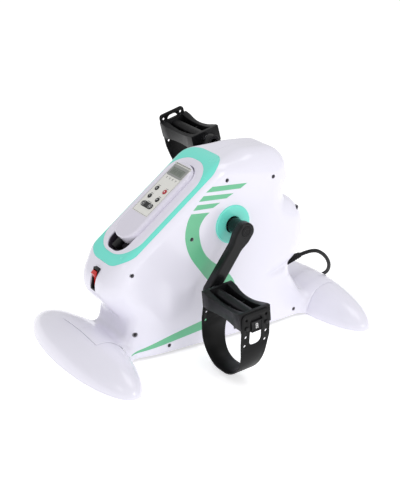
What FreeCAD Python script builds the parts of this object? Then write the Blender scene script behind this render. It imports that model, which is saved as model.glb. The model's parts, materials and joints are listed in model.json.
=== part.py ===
import FreeCAD, Part
import math
import os
from FreeCAD import Vector

# Motorised pedal exerciser. Millimetres. +X is the machine's right-hand side, -Y faces the user,
# +Z is up. The origin is on the floor, in the mid-plane, half way between the two feet.

# ---- casing ----
CASE_HALF = 63.3            # half of the casing's thickness
CASE_EDGE_R = 22.0          # rounding of the casing's rim
CASE_WALL = 2.5
CASE_BOTTOM = 6.0           # height of the casing's open lower edge
SKIRT_END_HALF = 53.0       # half width of the skirt where it meets the feet
SKIRT_TAPER_FRONT = -112.0  # the lower skirt narrows towards the feet beyond these places
SKIRT_TAPER_REAR = 52.0
SKIRT_END_Y = 184.0
HUB_Y = 15.9                # crank axis
HUB_Z = 208.0
LOBE_Y = 112.0              # round rear lobe
LOBE_Z = 162.0
LOBE_R = 72.5

# ---- console, in its own frame: v along the slope, w out of it ----
CONSOLE_Y = -94.5           # centre of the console along the machine
SURROUND_LENGTH = 255.0
SURROUND_HALF = 57.0
SURROUND_CORNER = 40.0
CRADLE_LOW = -108.5
CRADLE_HIGH = 100.0
CRADLE_HALF = 50.0
CRADLE_CORNER = 44.0
CRADLE_FLOOR = 4.0
HANDSET_LOW = -81.0
HANDSET_HIGH = 84.0
HANDSET_HALF = 29.0
HANDSET_DEPTH = 18.0
HANDSET_PROUD = 9.0         # height of the handset's face above the slope
HANDSET_WALL = 2.0
HANDSET_CORNER = 26.0
HANDSET_EDGE_R = 3.5
NOTCH_LOW = -103.0
NOTCH_HALF = 28.0
NOTCH_DEPTH = 20.0
LABEL_LOW = -30.5
LABEL_HIGH = 78.0
LABEL_HALF = 23.5
LABEL_THICK = 0.6
LCD_LOW = 55.6
LCD_HIGH = 67.6
LCD_HALF = 17.0
LCD_FRAME = 4.5
LCD_THICK = 1.6
BUTTON_R = 4.3
BUTTON_PROUD = 1.4
BUTTON_TRAVEL = 0.8
BUTTON_STEM = 5.0
DUAL_KEY_LENGTH = 32.0
DUAL_KEY_WIDTH = 10.0
LEAD_R = 2.6
LEAD_LENGTH = 86.0
SOFT_GAP = 0.3              # room around loose and soft pieces
SLIP = 0.25                 # room around a piece that slides or drops in

# ---- power switch ----
SWITCH_Z = 137.0
SWITCH_HEIGHT = 38.0
SWITCH_WIDTH = 16.0
SWITCH_LEAN = 10.0          # degrees from upright
SWITCH_FACE_Y = -204.6
SWITCH_BODY = 22.0
ROCKER_HEIGHT = 30.0
ROCKER_WIDTH = 11.0
ROCKER_THROW = 14.0

# ---- feet ----
FOOT_Y = 229.0
FOOT_HALF_X = 168.0
FOOT_HALF_Y = 51.0
FOOT_HEIGHT = 54.0
FOOT_WALL = 3.0
FOOT_LIFT = 2.0             # the dome's rim clears the floor by this much
PAD_R = 11.0
PAD_X = 104.0

# ---- steel base ----
BASE_TUBE_HALF = 20.0
BASE_LOW = 9.0
BASE_HIGH = 29.0
BASE_WALL = 2.0
CROSS_HALF_X = 122.0
CROSS_HALF_Y = 15.0
CHEEK_THICK = 4.0
CHEEK_X = 30.0              # inner face of each bearing cheek
CHEEK_FOOT_HALF = 34.0
HOUSING_R = 22.0
HOUSING_LENGTH = 14.0

# ---- drive ----
SHAFT_R = 7.5
BEARING_R = 16.0
BEARING_LENGTH = 10.0
RUN_GAP = 0.05              # radial room of every running fit
PULLEY_R = 58.0
PULLEY_HALF = 9.0
PULLEY_RIM = 6.0
PULLEY_HUB_R = 16.0
SPOKES = 5
BELT_THICK = 3.0
MOTOR_Y = -70.0
MOTOR_Z = 95.0
MOTOR_R = 30.0
MOTOR_LENGTH = 40.0
MOTOR_PULLEY_R = 14.0
MOTOR_SHAFT_R = 4.0
BRACKET_THICK = 3.0

# ---- cranks and pedals ----
CRANK_LENGTH = 110.0
CRANK_ANGLE = 235.2         # direction of the right crank in the Y-Z plane, degrees from +Y
CRANK_BIG_R = 15.0
CRANK_SMALL_R = 12.0
CRANK_IN = 90.0             # inner and outer faces of the arm
CRANK_OUT = 105.0
CRANK_BOSS_R = 13.0
CAP_R = 10.0
HUB_DISC_R = 33.2
HUB_DISC_PROUD = 3.0
AXLE_R = 6.0
AXLE_OUT = 219.0
PEDAL_IN = 112.0
PEDAL_OUT = 225.0
PEDAL_HALF = 28.5
PEDAL_TOP = 14.0
PEDAL_BOTTOM = -14.0
PEDAL_PLATE = 6.0
PEDAL_WAIST = 7.0           # how far the long edges dip between the end plates
POCKET_HALF = 17.0
PEDAL_TILT_RIGHT = 6.0
PEDAL_TILT_LEFT = 15.0
STRAP_THICK = 2.2
STRAP_HALF = 26.0
STRAP_WAIST_HALF = 17.0
STRAP_DROP = 107.0          # axle to the bottom of the loop
STRAP_BEND_R = 50.0
STRAP_PITCH = 14.5          # spacing of the strap's holes
STRAP_END_TOP = 12.0
STRAP_INNER_TOP = -7.0      # the inner end stops below the axle
PEG_R = 2.2
PEG_Y = 18.5
PEG_Z = -12.0
BOSS_HALF = 10.5            # block that stands in the strap's window
BOSS_HIGH = -3.0
BOSS_LOW = -21.0
WINDOW_HALF = 11.0
WINDOW_LENGTH = 48.0
WINDOW_CORNER = 8.0
WINDOW_MARGIN = 7.0

# ---- screws ----
SCREW_HEAD_R = 3.1
SCREW_R = 1.7
SCREW_HOLE_R = 3.5
POST_R = 5.6
POST_HEAD_X = 8.0
RIM_SCREWS = [(1.6, 286.9), (96.6, 276.2), (-62.4, 196.0), (-177.3, 161.0), (149.8, 209.6), (-166.0, 47.0)]
BASE_SCREWS = [(-105.2, 17.0), (26.4, 17.0), (156.2, 17.0)]
BASE_SCREW_X = 30.0

# ---- mains lead ----
CORD_R = 3.5
RELIEF_ROOT = (0.0, 170.0, 82.5)
RELIEF_LENGTH = 40.0
RELIEF_ROOT_R = 7.5
RELIEF_TIP_R = 5.0
COIL_X = -215.0
COIL_Y = 275.0
COIL_MID_R = 38.0
COIL_COLUMNS = 2
COIL_ROWS = 3
CORD_POINTS = [
    (0.0, 209.4, 89.4),
    (0.0, 238.0, 94.4),
    (-3.0, 267.0, 78.0),
    (-12.0, 290.0, 50.0),
    (-34.0, 302.0, 20.0),
    (-64.0, 297.0, 3.6),
    (-100.0, 281.0, 3.6),
    (-136.0, 263.0, 3.6),
    (-170.0, 253.0, 3.6),
    (-203.5, 239.4, 3.6),
]
COIL_SWEEP = 1809.0         # degrees that the lead winds round before it enters the plug
PLUG_REAR_X = 5.0           # where the lead enters the plug, from the coil's centre
PLUG_AXIS_Y = -32.0
PLUG_LENGTH = 34.0
PLUG_HALF = 17.7
PLUG_HEIGHT = 14.0
PLUG_FRONT_CORNER = 5.0
PLUG_REAR_CORNER = 12.0
PIN_R = 2.0
PIN_LENGTH = 19.0
PIN_Y = 9.5


# ---------------------------------------------------------------- helpers
def box(x0, x1, y0, y1, z0, z1):
    return Part.makeBox(x1 - x0, y1 - y0, z1 - z0, Vector(x0, y0, z0))


def rod_x(y, z, r, x0, x1):
    return Part.makeCylinder(r, x1 - x0, Vector(x0, y, z), Vector(1, 0, 0))


def rounded_wire(corners, lift):
    """Closed wire of straight runs and tangent arcs; each corner is (a, b, radius)."""
    count = len(corners)
    starts, ends, mids = [], [], []
    for i in range(count):
        before, here, after = corners[i - 1], corners[i], corners[(i + 1) % count]
        point = Vector(here[0], here[1], 0)
        into = (Vector(before[0], before[1], 0) - point).normalize()
        out = (Vector(after[0], after[1], 0) - point).normalize()
        half = into.getAngle(out) / 2
        reach = here[2] / math.tan(half)
        middle = (into + out).normalize() * (here[2] / math.sin(half) - here[2])
        starts.append(point + into * reach)
        mids.append(point + middle)
        ends.append(point + out * reach)
    edges = []
    for i in range(count):
        edges.append(Part.Arc(lift(starts[i]), lift(mids[i]), lift(ends[i])).toShape())
        follow = starts[(i + 1) % count]
        if (follow - ends[i]).Length > 1e-4:
            edges.append(Part.LineSegment(lift(ends[i]), lift(follow)).toShape())
    return Part.Wire(edges)


def prism_x(corners, x0, x1, inset=0.0):
    """Solid between two X planes whose outline in Y-Z has rounded corners."""
    wire = rounded_wire(corners, lambda p: Vector(x0, p.x, p.y))
    if inset:
        wire = wire.makeOffset2D(-inset)
    return Part.Face(wire).extrude(Vector(x1 - x0, 0, 0))


def prism_z(corners, z0, z1):
    wire = rounded_wire(corners, lambda p: Vector(p.x, p.y, z0))
    return Part.Face(wire).extrude(Vector(0, 0, z1 - z0))


def stadium(half, low, high, corner, w0, w1):
    """Upright prism in the console's frame with rounded ends."""
    corners = [(-half, low, corner), (half, low, corner), (half, high, corner), (-half, high, corner)]
    return prism_z(corners, w0, w1)


def round_rim(solid, half, radius):
    """Rounds the rim edges of an X prism on both of its end faces."""
    rim = []
    for edge in solid.Edges:
        box_ = edge.BoundBox
        if abs(abs(box_.XMin) - half) < 1e-3 and box_.XLength < 1e-3:
            rim.append(edge)
    return solid.makeFillet(radius, rim)


def fuse_all(shapes):
    return shapes[0].multiFuse(shapes[1:]).removeSplitter() if len(shapes) > 1 else shapes[0]


# ---------------------------------------------------------------- casing outline
NOSE = (-213.5, 124.0)
SHOULDER = (-186.0, 175.0)
CREST = (-8.0, 312.5)
slope = math.atan2(CREST[1] - SHOULDER[1], CREST[0] - SHOULDER[0])


def lobe_corner(angle):
    """Corner between two tangents of the round lobe that are 60 degrees apart."""
    reach = LOBE_R / math.cos(math.radians(30))
    direction = math.radians(angle)
    return (LOBE_Y + reach * math.cos(direction), LOBE_Z + reach * math.sin(direction), LOBE_R - 0.2)


def body_outline():
    return [
        (-158.0, 48.0, 9.0),
        (NOSE[0], NOSE[1], 34.0),
        (SHOULDER[0], SHOULDER[1], 45.0),
        (CREST[0], CREST[1], 55.0),
        (127.0, 318.0, 26.0),
        (147.0, 266.0, 22.0),
        (133.0, 233.6, 9.0),
        lobe_corner(30.0),
        lobe_corner(-30.0),
        (95.0, 68.4, 30.0),
        (85.0, -40.0, 10.0),
        (-110.0, -40.0, 10.0),
    ]


def skirt_outline():
    return [
        (-229.0, -40.0, 5.0),
        (-229.0, 50.0, 4.0),
        (-171.0, 51.0, 20.0),
        (-164.0, 90.0, 4.0),
        (0.0, 120.0, 20.0),
        (158.0, 125.0, 4.0),
        (170.0, 53.0, 20.0),
        (229.0, 50.0, 4.0),
        (229.0, -40.0, 5.0),
    ]


def skirt_plan(inset):
    side = CASE_HALF - inset
    end = SKIRT_END_HALF - inset
    right = [
        (side, SKIRT_TAPER_FRONT, 90.0),
        (side, SKIRT_TAPER_REAR, 200.0),
        (end, SKIRT_END_Y, 20.0),
        (end, FOOT_Y, 4.0),
    ]
    left = [(-x, y, radius) for x, y, radius in reversed(right)]
    front = [
        (-end, -SKIRT_END_Y, 20.0),
        (-end, -FOOT_Y, 4.0),
        (end, -FOOT_Y, 4.0),
        (end, -SKIRT_END_Y, 20.0),
    ]
    return right + left + front


def casing_volume(inset):
    """The casing's outer volume, or its cavity when inset is the wall."""
    half = CASE_HALF - inset
    body = round_rim(prism_x(body_outline(), -half, half, inset), half, CASE_EDGE_R - inset)
    skirt = prism_x(skirt_outline(), -half, half, inset)
    skirt = skirt.common(prism_z(skirt_plan(inset), -80.0, 160.0))
    return body.fuse(skirt)


def foot_dome(side, shrink=0.0):
    """Half of an ellipsoid that stands across the machine."""
    ball = Part.makeSphere(1.0)
    scale = FreeCAD.Matrix()
    scale.scale(Vector(FOOT_HALF_X - shrink, FOOT_HALF_Y - shrink, FOOT_HEIGHT - FOOT_LIFT - shrink))
    dome = ball.transformGeometry(scale)
    dome.translate(Vector(0, side * FOOT_Y, FOOT_LIFT))
    half = CROSS_HALF_X + 100.0
    return dome.common(box(-half, half, -400.0, 400.0, FOOT_LIFT, 200.0))


# ---------------------------------------------------------------- console frame
console_z = SHOULDER[1] + (CONSOLE_Y - SHOULDER[0]) * math.tan(slope)
console_place = FreeCAD.Placement(
    Vector(0, CONSOLE_Y, console_z), FreeCAD.Rotation(Vector(1, 0, 0), math.degrees(slope)))


def on_console(shape):
    """Moves a shape from the console's frame to the machine's."""
    placed = shape.copy()
    placed.Placement = console_place.multiply(placed.Placement)
    return placed


BUTTONS = {
    "button_mode": (-12.0, 21.4),
    "button_time": (-12.0, 3.9),
    "button_stop": (12.0, 21.4),
    "button_start": (12.0, 3.9),
}
DUAL_KEY_V = -12.0


def surround_prism(room):
    low = -SURROUND_LENGTH / 2 + room
    high = SURROUND_LENGTH / 2 - room
    return on_console(stadium(SURROUND_HALF - room, low, high, SURROUND_CORNER - room, -60.0, 90.0))


def cradle_prism(room):
    return on_console(stadium(CRADLE_HALF - room, CRADLE_LOW + room, CRADLE_HIGH - room,
                              CRADLE_CORNER - room, -60.0, 90.0))


def handset_shape(room, w0, w1):
    return stadium(HANDSET_HALF + room, HANDSET_LOW - room, HANDSET_HIGH + room,
                   HANDSET_CORNER + room, w0, w1)


pocket_floor = HANDSET_PROUD - HANDSET_DEPTH
cradle_bottom = pocket_floor - NOTCH_DEPTH + CRADLE_FLOOR
lead_v = (NOTCH_LOW + HANDSET_LOW) / 2 + 1.0


# ---------------------------------------------------------------- switch frame
switch_place = FreeCAD.Placement(
    Vector(0, SWITCH_FACE_Y, SWITCH_Z), FreeCAD.Rotation(Vector(1, 0, 0), -SWITCH_LEAN))


def on_switch(shape):
    placed = shape.copy()
    placed.Placement = switch_place.multiply(placed.Placement)
    return placed


# ---------------------------------------------------------------- casing pieces
def screw_post(y, z, side, inner_x, head_x):
    """Moulded post that carries one screw, from the side wall to inner_x."""
    reach = CASE_HALF - CASE_WALL / 2
    low, high = sorted((side * inner_x, side * reach))
    return rod_x(y, z, POST_R, low, high)


def casing_shells():
    outer = casing_volume(0.0)
    inner = casing_volume(CASE_WALL)
    wall = outer.cut(inner)
    wall = wall.common(box(-80.0, 80.0, -300.0, 300.0, CASE_BOTTOM, 400.0))
    wall = wall.cut(surround_prism(0.0))
    wall = wall.cut(on_switch(box(-SWITCH_WIDTH / 2, SWITCH_WIDTH / 2, -30.0, 30.0,
                                  -SWITCH_HEIGHT / 2, SWITCH_HEIGHT / 2)))
    for side in (-1, 1):
        wall = wall.cut(foot_dome(side))
    wall = wall.cut(rod_x(HUB_Y, HUB_Z, HUB_DISC_R - 4.0, -80.0, 80.0))
    base_room = BASE_TUBE_HALF + 1.0
    wall = wall.cut(box(-base_room, base_room, -300.0, 300.0, 0.0, BASE_HIGH + 1.0))
    relief = Part.makeCylinder(RELIEF_ROOT_R, 60.0, Vector(*RELIEF_ROOT) - relief_axis() * 30.0,
                               relief_axis())
    wall = wall.cut(relief)
    shells = {}
    for name, side in (("casing_right", 1), ("casing_left", -1)):
        low, high = sorted((0.0, side * 80.0))
        half = wall.common(box(low, high, -300.0, 300.0, 0.0, 400.0))
        posts = [screw_post(y, z, side, 0.0, POST_HEAD_X) for y, z in RIM_SCREWS]
        posts += [screw_post(y, z, side, BASE_TUBE_HALF, BASE_SCREW_X) for y, z in BASE_SCREWS]
        ribs = fuse_all(posts).common(outer)
        half = half.fuse(ribs)
        for y, z in RIM_SCREWS:
            half = half.cut(rod_x(y, z, SCREW_R + RUN_GAP, -20.0, 80.0))
            if side > 0:
                half = half.cut(rod_x(y, z, SCREW_HOLE_R, POST_HEAD_X, 80.0))
        for y, z in BASE_SCREWS:
            head = sorted((side * BASE_SCREW_X, side * 80.0))
            shank = sorted((0.0, side * 80.0))
            half = half.cut(rod_x(y, z, SCREW_HOLE_R, head[0], head[1]))
            half = half.cut(rod_x(y, z, SCREW_R + RUN_GAP, shank[0], shank[1]))
        shells[name] = half.removeSplitter()
    return shells


def screw(y, z, head_x, tip_x):
    """Pan-head screw along X; its head sits on a seat at head_x."""
    side = 1 if head_x > tip_x else -1
    head = sorted((head_x, head_x + side * 3.0))
    shank = sorted((head_x, tip_x))
    body = rod_x(y, z, SCREW_HEAD_R, head[0], head[1]).fuse(rod_x(y, z, SCREW_R, shank[0], shank[1]))
    slot = sorted((head_x + side * 1.6, head_x + side * 4.0))
    for across_y, across_z in ((2.0, 0.5), (0.5, 2.0)):
        body = body.cut(box(slot[0], slot[1], y - across_y, y + across_y, z - across_z, z + across_z))
    return body


def casing_screws():
    screws = [screw(y, z, POST_HEAD_X, -16.0) for y, z in RIM_SCREWS]
    for y, z in BASE_SCREWS:
        for side in (-1, 1):
            screws.append(screw(y, z, side * BASE_SCREW_X, side * (BASE_TUBE_HALF - BASE_WALL - 3.0)))
    return Part.makeCompound(screws)


def console_surround():
    """Coloured band: the strip of casing wall between the surround's and the cradle's outlines."""
    skin = casing_volume(0.0).cut(casing_volume(CASE_WALL))
    return skin.common(surround_prism(0.05)).cut(cradle_prism(0.0))


def handset_cradle():
    block = casing_volume(0.0).common(cradle_prism(0.05))
    keep = on_console(box(-80.0, 80.0, -200.0, 200.0, cradle_bottom, 60.0))
    block = block.common(keep)
    block = block.cut(on_console(handset_shape(SLIP, pocket_floor - SLIP, 80.0)))
    notch = on_console(stadium(NOTCH_HALF, NOTCH_LOW, HANDSET_LOW + 40.0, NOTCH_HALF - 6.0,
                               pocket_floor - NOTCH_DEPTH + 2.0 * CRADLE_FLOOR, 80.0))
    block = block.cut(notch)
    hollow = on_console(stadium(HANDSET_HALF - 4.0, HANDSET_LOW + 50.0, HANDSET_HIGH - 8.0, 12.0,
                                cradle_bottom - 5.0, pocket_floor - CRADLE_FLOOR))
    block = block.cut(hollow)
    for y, z in RIM_SCREWS:
        block = block.cut(rod_x(y, z, POST_R + SOFT_GAP, -80.0, 80.0))
    lead_hole = on_console(Part.makeCylinder(LEAD_R + 1.0, 60.0, Vector(0, lead_v, -50.0)))
    return block.cut(lead_hole)


# ---------------------------------------------------------------- handset
def handset_hollow(w0, w1):
    inside = HANDSET_WALL
    return stadium(HANDSET_HALF - inside, HANDSET_LOW + inside, HANDSET_HIGH - inside,
                   HANDSET_CORNER - inside, w0, w1)


def handset_pieces():
    top = HANDSET_PROUD
    split = (top + pocket_floor) / 2
    case = handset_shape(0.0, pocket_floor, top)
    rim = [e for e in case.Edges if abs(e.BoundBox.ZMin - e.BoundBox.ZMax) < 1e-4]
    case = case.makeFillet(HANDSET_EDGE_R, rim)
    case = case.cut(handset_hollow(pocket_floor + HANDSET_WALL, top - HANDSET_WALL))
    label_bed = box(-LABEL_HALF - 0.1, LABEL_HALF + 0.1, LABEL_LOW - 0.1, LABEL_HIGH + 0.1,
                    top - LABEL_THICK, top + 5.0)
    window_bed = box(-LCD_HALF, LCD_HALF, LCD_LOW, LCD_HIGH, top - 6.0, top + 5.0)
    front = case.common(box(-60.0, 60.0, -150.0, 150.0, split, top + 5.0)).cut(label_bed).cut(window_bed)
    back = case.common(box(-60.0, 60.0, -150.0, 150.0, pocket_floor - 1.0, split))
    label = box(-LABEL_HALF, LABEL_HALF, LABEL_LOW, LABEL_HIGH, top - LABEL_THICK, top)
    label = label.cut(window_bed)
    glass = box(-LCD_HALF + 0.05, LCD_HALF - 0.05, LCD_LOW + 0.05, LCD_HIGH - 0.05,
                top - LCD_THICK - 1.5, top - 0.2)
    board = box(-HANDSET_HALF + 5.0, HANDSET_HALF - 5.0, LABEL_LOW - 12.0, HANDSET_HIGH - 16.0,
                split - 1.4, split)
    board_posts = []
    for x in (-18.0, 18.0):
        for v in (LABEL_LOW - 6.0, HANDSET_HIGH - 24.0):
            board_posts.append(Part.makeCylinder(2.5, split - 1.4 - pocket_floor - HANDSET_WALL,
                                                 Vector(x, v, pocket_floor + HANDSET_WALL)))
    back = fuse_all([back] + board_posts)
    display = box(-LCD_HALF - 2.0, LCD_HALF + 2.0, LCD_LOW - 2.0, LCD_HIGH + 2.0,
                  split, top - LCD_THICK - 1.5 - 0.05)
    display = display.cut(box(-60.0, 60.0, -150.0, 150.0, top - HANDSET_WALL - 0.05, top))
    pieces = {"handset_front": front, "handset_back": back, "keypad_label": label,
              "display_window": glass, "handset_board": board, "display_module": display}
    stem_bottom = split + BUTTON_TRAVEL + 0.4
    for name, (x, v) in BUTTONS.items():
        hole = Part.makeCylinder(BUTTON_R + SLIP, 20.0, Vector(x, v, top - 10.0))
        pieces["handset_front"] = pieces["handset_front"].cut(hole)
        pieces["keypad_label"] = pieces["keypad_label"].cut(hole)
        key = Part.makeCylinder(BUTTON_R, top + BUTTON_PROUD - stem_bottom, Vector(x, v, stem_bottom))
        key = key.makeFillet(0.6, [key.Edges[0] if key.Edges[0].BoundBox.ZMin > top else key.Edges[2]])
        pieces[name] = key
    dual_hole = stadium(DUAL_KEY_LENGTH / 2 + SLIP, DUAL_KEY_V - DUAL_KEY_WIDTH / 2 - SLIP,
                        DUAL_KEY_V + DUAL_KEY_WIDTH / 2 + SLIP, DUAL_KEY_WIDTH / 2 - 0.2 + SLIP,
                        top - 10.0, top + 5.0)
    pieces["handset_front"] = pieces["handset_front"].cut(dual_hole)
    pieces["keypad_label"] = pieces["keypad_label"].cut(dual_hole)
    pieces["speed_key"] = stadium(DUAL_KEY_LENGTH / 2, DUAL_KEY_V - DUAL_KEY_WIDTH / 2,
                                  DUAL_KEY_V + DUAL_KEY_WIDTH / 2, DUAL_KEY_WIDTH / 2 - 0.2,
                                  stem_bottom + 0.6, top + BUTTON_PROUD)
    plug_w0 = pocket_floor + 2.0
    plug = box(-6.0, 6.0, lead_v - 6.0, HANDSET_LOW, plug_w0, plug_w0 + 9.0)
    plug = plug.cut(Part.makeCylinder(LEAD_R, 30.0, Vector(0, lead_v, plug_w0 - 25.0)))
    pieces["lead_plug"] = plug
    pieces["handset_lead"] = Part.makeCylinder(LEAD_R, LEAD_LENGTH,
                                               Vector(0, lead_v, plug_w0 + 5.0 - LEAD_LENGTH))
    return {name: on_console(shape) for name, shape in pieces.items()}


# ---------------------------------------------------------------- power switch
def switch_pieces():
    half_w = SWITCH_WIDTH / 2 - 0.05
    half_h = SWITCH_HEIGHT / 2 - 0.05
    bezel = box(-half_w, half_w, 0.0, SWITCH_BODY, -half_h, half_h)
    well = box(-ROCKER_WIDTH / 2 - SLIP, ROCKER_WIDTH / 2 + SLIP, -1.0, SWITCH_BODY - 4.0,
               -ROCKER_HEIGHT / 2 - 1.2, ROCKER_HEIGHT / 2 + 1.2)
    bezel = bezel.cut(well)
    pivot_y = 7.0
    outline = [(-1.5, 14.6, 0.8), (-5.2, 9.5, 0.8), (1.8, 0.0, 3.0), (5.5, -14.6, 0.8), (10.0, -11.0, 1.0),
               (12.0, 0.0, 2.0), (9.0, 12.0, 1.0)]
    rocker = prism_x(outline, -ROCKER_WIDTH / 2, ROCKER_WIDTH / 2)
    rocker = rocker.cut(rod_x(pivot_y, 0.0, 1.5 + RUN_GAP, -20.0, 20.0))
    pin = rod_x(pivot_y, 0.0, 1.5, -half_w, half_w)
    bezel = bezel.cut(rod_x(pivot_y, 0.0, 1.5, -20.0, 20.0))
    terminals = []
    for z in (-10.0, 0.0, 10.0):
        terminals.append(box(-2.4, 2.4, SWITCH_BODY, SWITCH_BODY + 7.0, z - 0.4, z + 0.4))
    return {"switch_bezel": on_switch(bezel), "switch_rocker": on_switch(rocker),
            "switch_pin": on_switch(pin), "switch_terminals": on_switch(Part.makeCompound(terminals))}


# ---------------------------------------------------------------- feet and base
def foot_shell(side):
    shell = foot_dome(side).cut(foot_dome(side, FOOT_WALL))
    room = BASE_TUBE_HALF + 1.0
    low, high = sorted((side * 140.0, side * FOOT_Y))
    shell = shell.cut(box(-room, room, low, high, 0.0, BASE_HIGH + 1.0))
    ribs = []
    for x in (-CROSS_HALF_X + 20.0, CROSS_HALF_X - 20.0):
        rib = box(x - 1.25, x + 1.25, side * FOOT_Y - FOOT_HALF_Y, side * FOOT_Y + FOOT_HALF_Y,
                  BASE_HIGH, 60.0)
        ribs.append(rib.common(foot_dome(side, FOOT_WALL)))
    return shell.multiFuse(ribs)


def base_frame():
    tube = box(-BASE_TUBE_HALF, BASE_TUBE_HALF, -FOOT_Y + CROSS_HALF_Y, FOOT_Y - CROSS_HALF_Y,
               BASE_LOW, BASE_HIGH)
    bore = box(-BASE_TUBE_HALF + BASE_WALL, BASE_TUBE_HALF - BASE_WALL, -FOOT_Y, FOOT_Y,
               BASE_LOW + BASE_WALL, BASE_HIGH - BASE_WALL)
    tube = tube.cut(bore)
    parts = [tube]
    for side in (-1, 1):
        bar = box(-CROSS_HALF_X, CROSS_HALF_X, side * FOOT_Y - CROSS_HALF_Y,
                  side * FOOT_Y + CROSS_HALF_Y, BASE_LOW, BASE_HIGH)
        hollow = box(-CROSS_HALF_X - 1.0, CROSS_HALF_X + 1.0, side * FOOT_Y - CROSS_HALF_Y + BASE_WALL,
                     side * FOOT_Y + CROSS_HALF_Y - BASE_WALL, BASE_LOW + BASE_WALL, BASE_HIGH - BASE_WALL)
        parts.append(bar.cut(hollow))
    frame = fuse_all(parts)
    for y, z in BASE_SCREWS:
        frame = frame.cut(rod_x(y, z, SCREW_R, -40.0, 40.0))
    return frame


def foot_pads():
    pads = []
    for side in (-1, 1):
        for x in (-PAD_X, PAD_X):
            pads.append(Part.makeCylinder(PAD_R, BASE_LOW, Vector(x, side * FOOT_Y, 0)))
    return Part.makeCompound(pads)


def bearing_cheek(side):
    """Steel cheek plate that carries one bearing housing above the base tube."""
    low, high = sorted((side * CHEEK_X, side * (CHEEK_X + CHEEK_THICK)))
    outline = [(HUB_Y - CHEEK_FOOT_HALF, BASE_LOW + 20.0, 3.0), (HUB_Y + CHEEK_FOOT_HALF, BASE_LOW + 20.0, 3.0),
               (HUB_Y + HOUSING_R, HUB_Z + HOUSING_R, HOUSING_R - 1.0),
               (HUB_Y - HOUSING_R, HUB_Z + HOUSING_R, HOUSING_R - 1.0)]
    plate = prism_x(outline, low, high)
    inner, outer = sorted((side * (CHEEK_X - 3.0), side * (CHEEK_X - 3.0 + HOUSING_LENGTH)))
    housing = rod_x(HUB_Y, HUB_Z, HOUSING_R, inner, outer)
    foot_in, foot_out = sorted((0.2 * side, side * (CHEEK_X + CHEEK_THICK)))
    foot = box(foot_in, foot_out, HUB_Y - CHEEK_FOOT_HALF, HUB_Y + CHEEK_FOOT_HALF,
               BASE_HIGH, BASE_HIGH + CHEEK_THICK)
    cheek = fuse_all([plate, housing, foot])
    return cheek.cut(rod_x(HUB_Y, HUB_Z, BEARING_R, -80.0, 80.0))


def bearing(side):
    inner, outer = sorted((side * (CHEEK_X - 1.0), side * (CHEEK_X - 1.0 + BEARING_LENGTH)))
    ring = rod_x(HUB_Y, HUB_Z, BEARING_R, inner, outer)
    ring = ring.cut(rod_x(HUB_Y, HUB_Z, SHAFT_R + RUN_GAP, -80.0, 80.0))
    for face in (inner - 1.0, outer - 1.2):
        groove = rod_x(HUB_Y, HUB_Z, BEARING_R - 2.5, face, face + 2.2)
        groove = groove.cut(rod_x(HUB_Y, HUB_Z, SHAFT_R + 2.5, face, face + 2.2))
        ring = ring.cut(groove)
    return ring


# ---------------------------------------------------------------- drive
def drive_pulley():
    wheel = rod_x(HUB_Y, HUB_Z, PULLEY_R, -PULLEY_HALF, PULLEY_HALF)
    wheel = wheel.cut(rod_x(HUB_Y, HUB_Z, PULLEY_R - PULLEY_RIM, -PULLEY_HALF, PULLEY_HALF))
    web = rod_x(HUB_Y, HUB_Z, PULLEY_R - PULLEY_RIM / 2, -2.5, 2.5)
    hub = rod_x(HUB_Y, HUB_Z, PULLEY_HUB_R, -PULLEY_HALF - 4.0, PULLEY_HALF + 4.0)
    wheel = fuse_all([wheel, web, hub])
    reach = (PULLEY_HUB_R + PULLEY_R - PULLEY_RIM) / 2
    for i in range(SPOKES):
        angle = 2 * math.pi * (i + 0.5) / SPOKES
        wheel = wheel.cut(rod_x(HUB_Y + reach * math.cos(angle), HUB_Z + reach * math.sin(angle),
                                13.0, -20.0, 20.0))
    return wheel.cut(rod_x(HUB_Y, HUB_Z, SHAFT_R, -40.0, 40.0))


def belt_loop(grow):
    """Outline prism of the belt's run round both pulleys, grown by the given amount."""
    run = Vector(0, MOTOR_Y - HUB_Y, MOTOR_Z - HUB_Z)
    span = run.Length
    along = run.normalize()
    across = Vector(0, -along.z, along.y)
    big = PULLEY_R + grow
    small = MOTOR_PULLEY_R + grow
    lean = (big - small) / span
    side = math.sqrt(1 - lean * lean)
    hub = Vector(0, HUB_Y, HUB_Z)
    motor = Vector(0, MOTOR_Y, MOTOR_Z)
    up = across * side + along * lean
    down = across * -side + along * lean
    edges = [
        Part.LineSegment(hub + up * big, motor + up * small).toShape(),
        Part.Arc(motor + up * small, motor + along * small, motor + down * small).toShape(),
        Part.LineSegment(motor + down * small, hub + down * big).toShape(),
        Part.Arc(hub + down * big, hub - along * big, hub + up * big).toShape(),
    ]
    width = PULLEY_HALF - 1.0
    face = Part.Face(Part.Wire(edges))
    face.translate(Vector(-width, 0, 0))
    return face.extrude(Vector(2 * width, 0, 0))


def drive_belt():
    return belt_loop(BELT_THICK + RUN_GAP).cut(belt_loop(RUN_GAP))


def motor_pulley():
    wheel = rod_x(MOTOR_Y, MOTOR_Z, MOTOR_PULLEY_R, -PULLEY_HALF, PULLEY_HALF)
    for low, high in ((-PULLEY_HALF - 1.5, -PULLEY_HALF), (PULLEY_HALF, PULLEY_HALF + 1.5)):
        wheel = wheel.fuse(rod_x(MOTOR_Y, MOTOR_Z, MOTOR_PULLEY_R + 2.5, low, high))
    shaft = rod_x(MOTOR_Y, MOTOR_Z, MOTOR_SHAFT_R, -30.0, PULLEY_HALF + 4.0)
    return wheel.fuse(shaft)


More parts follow.
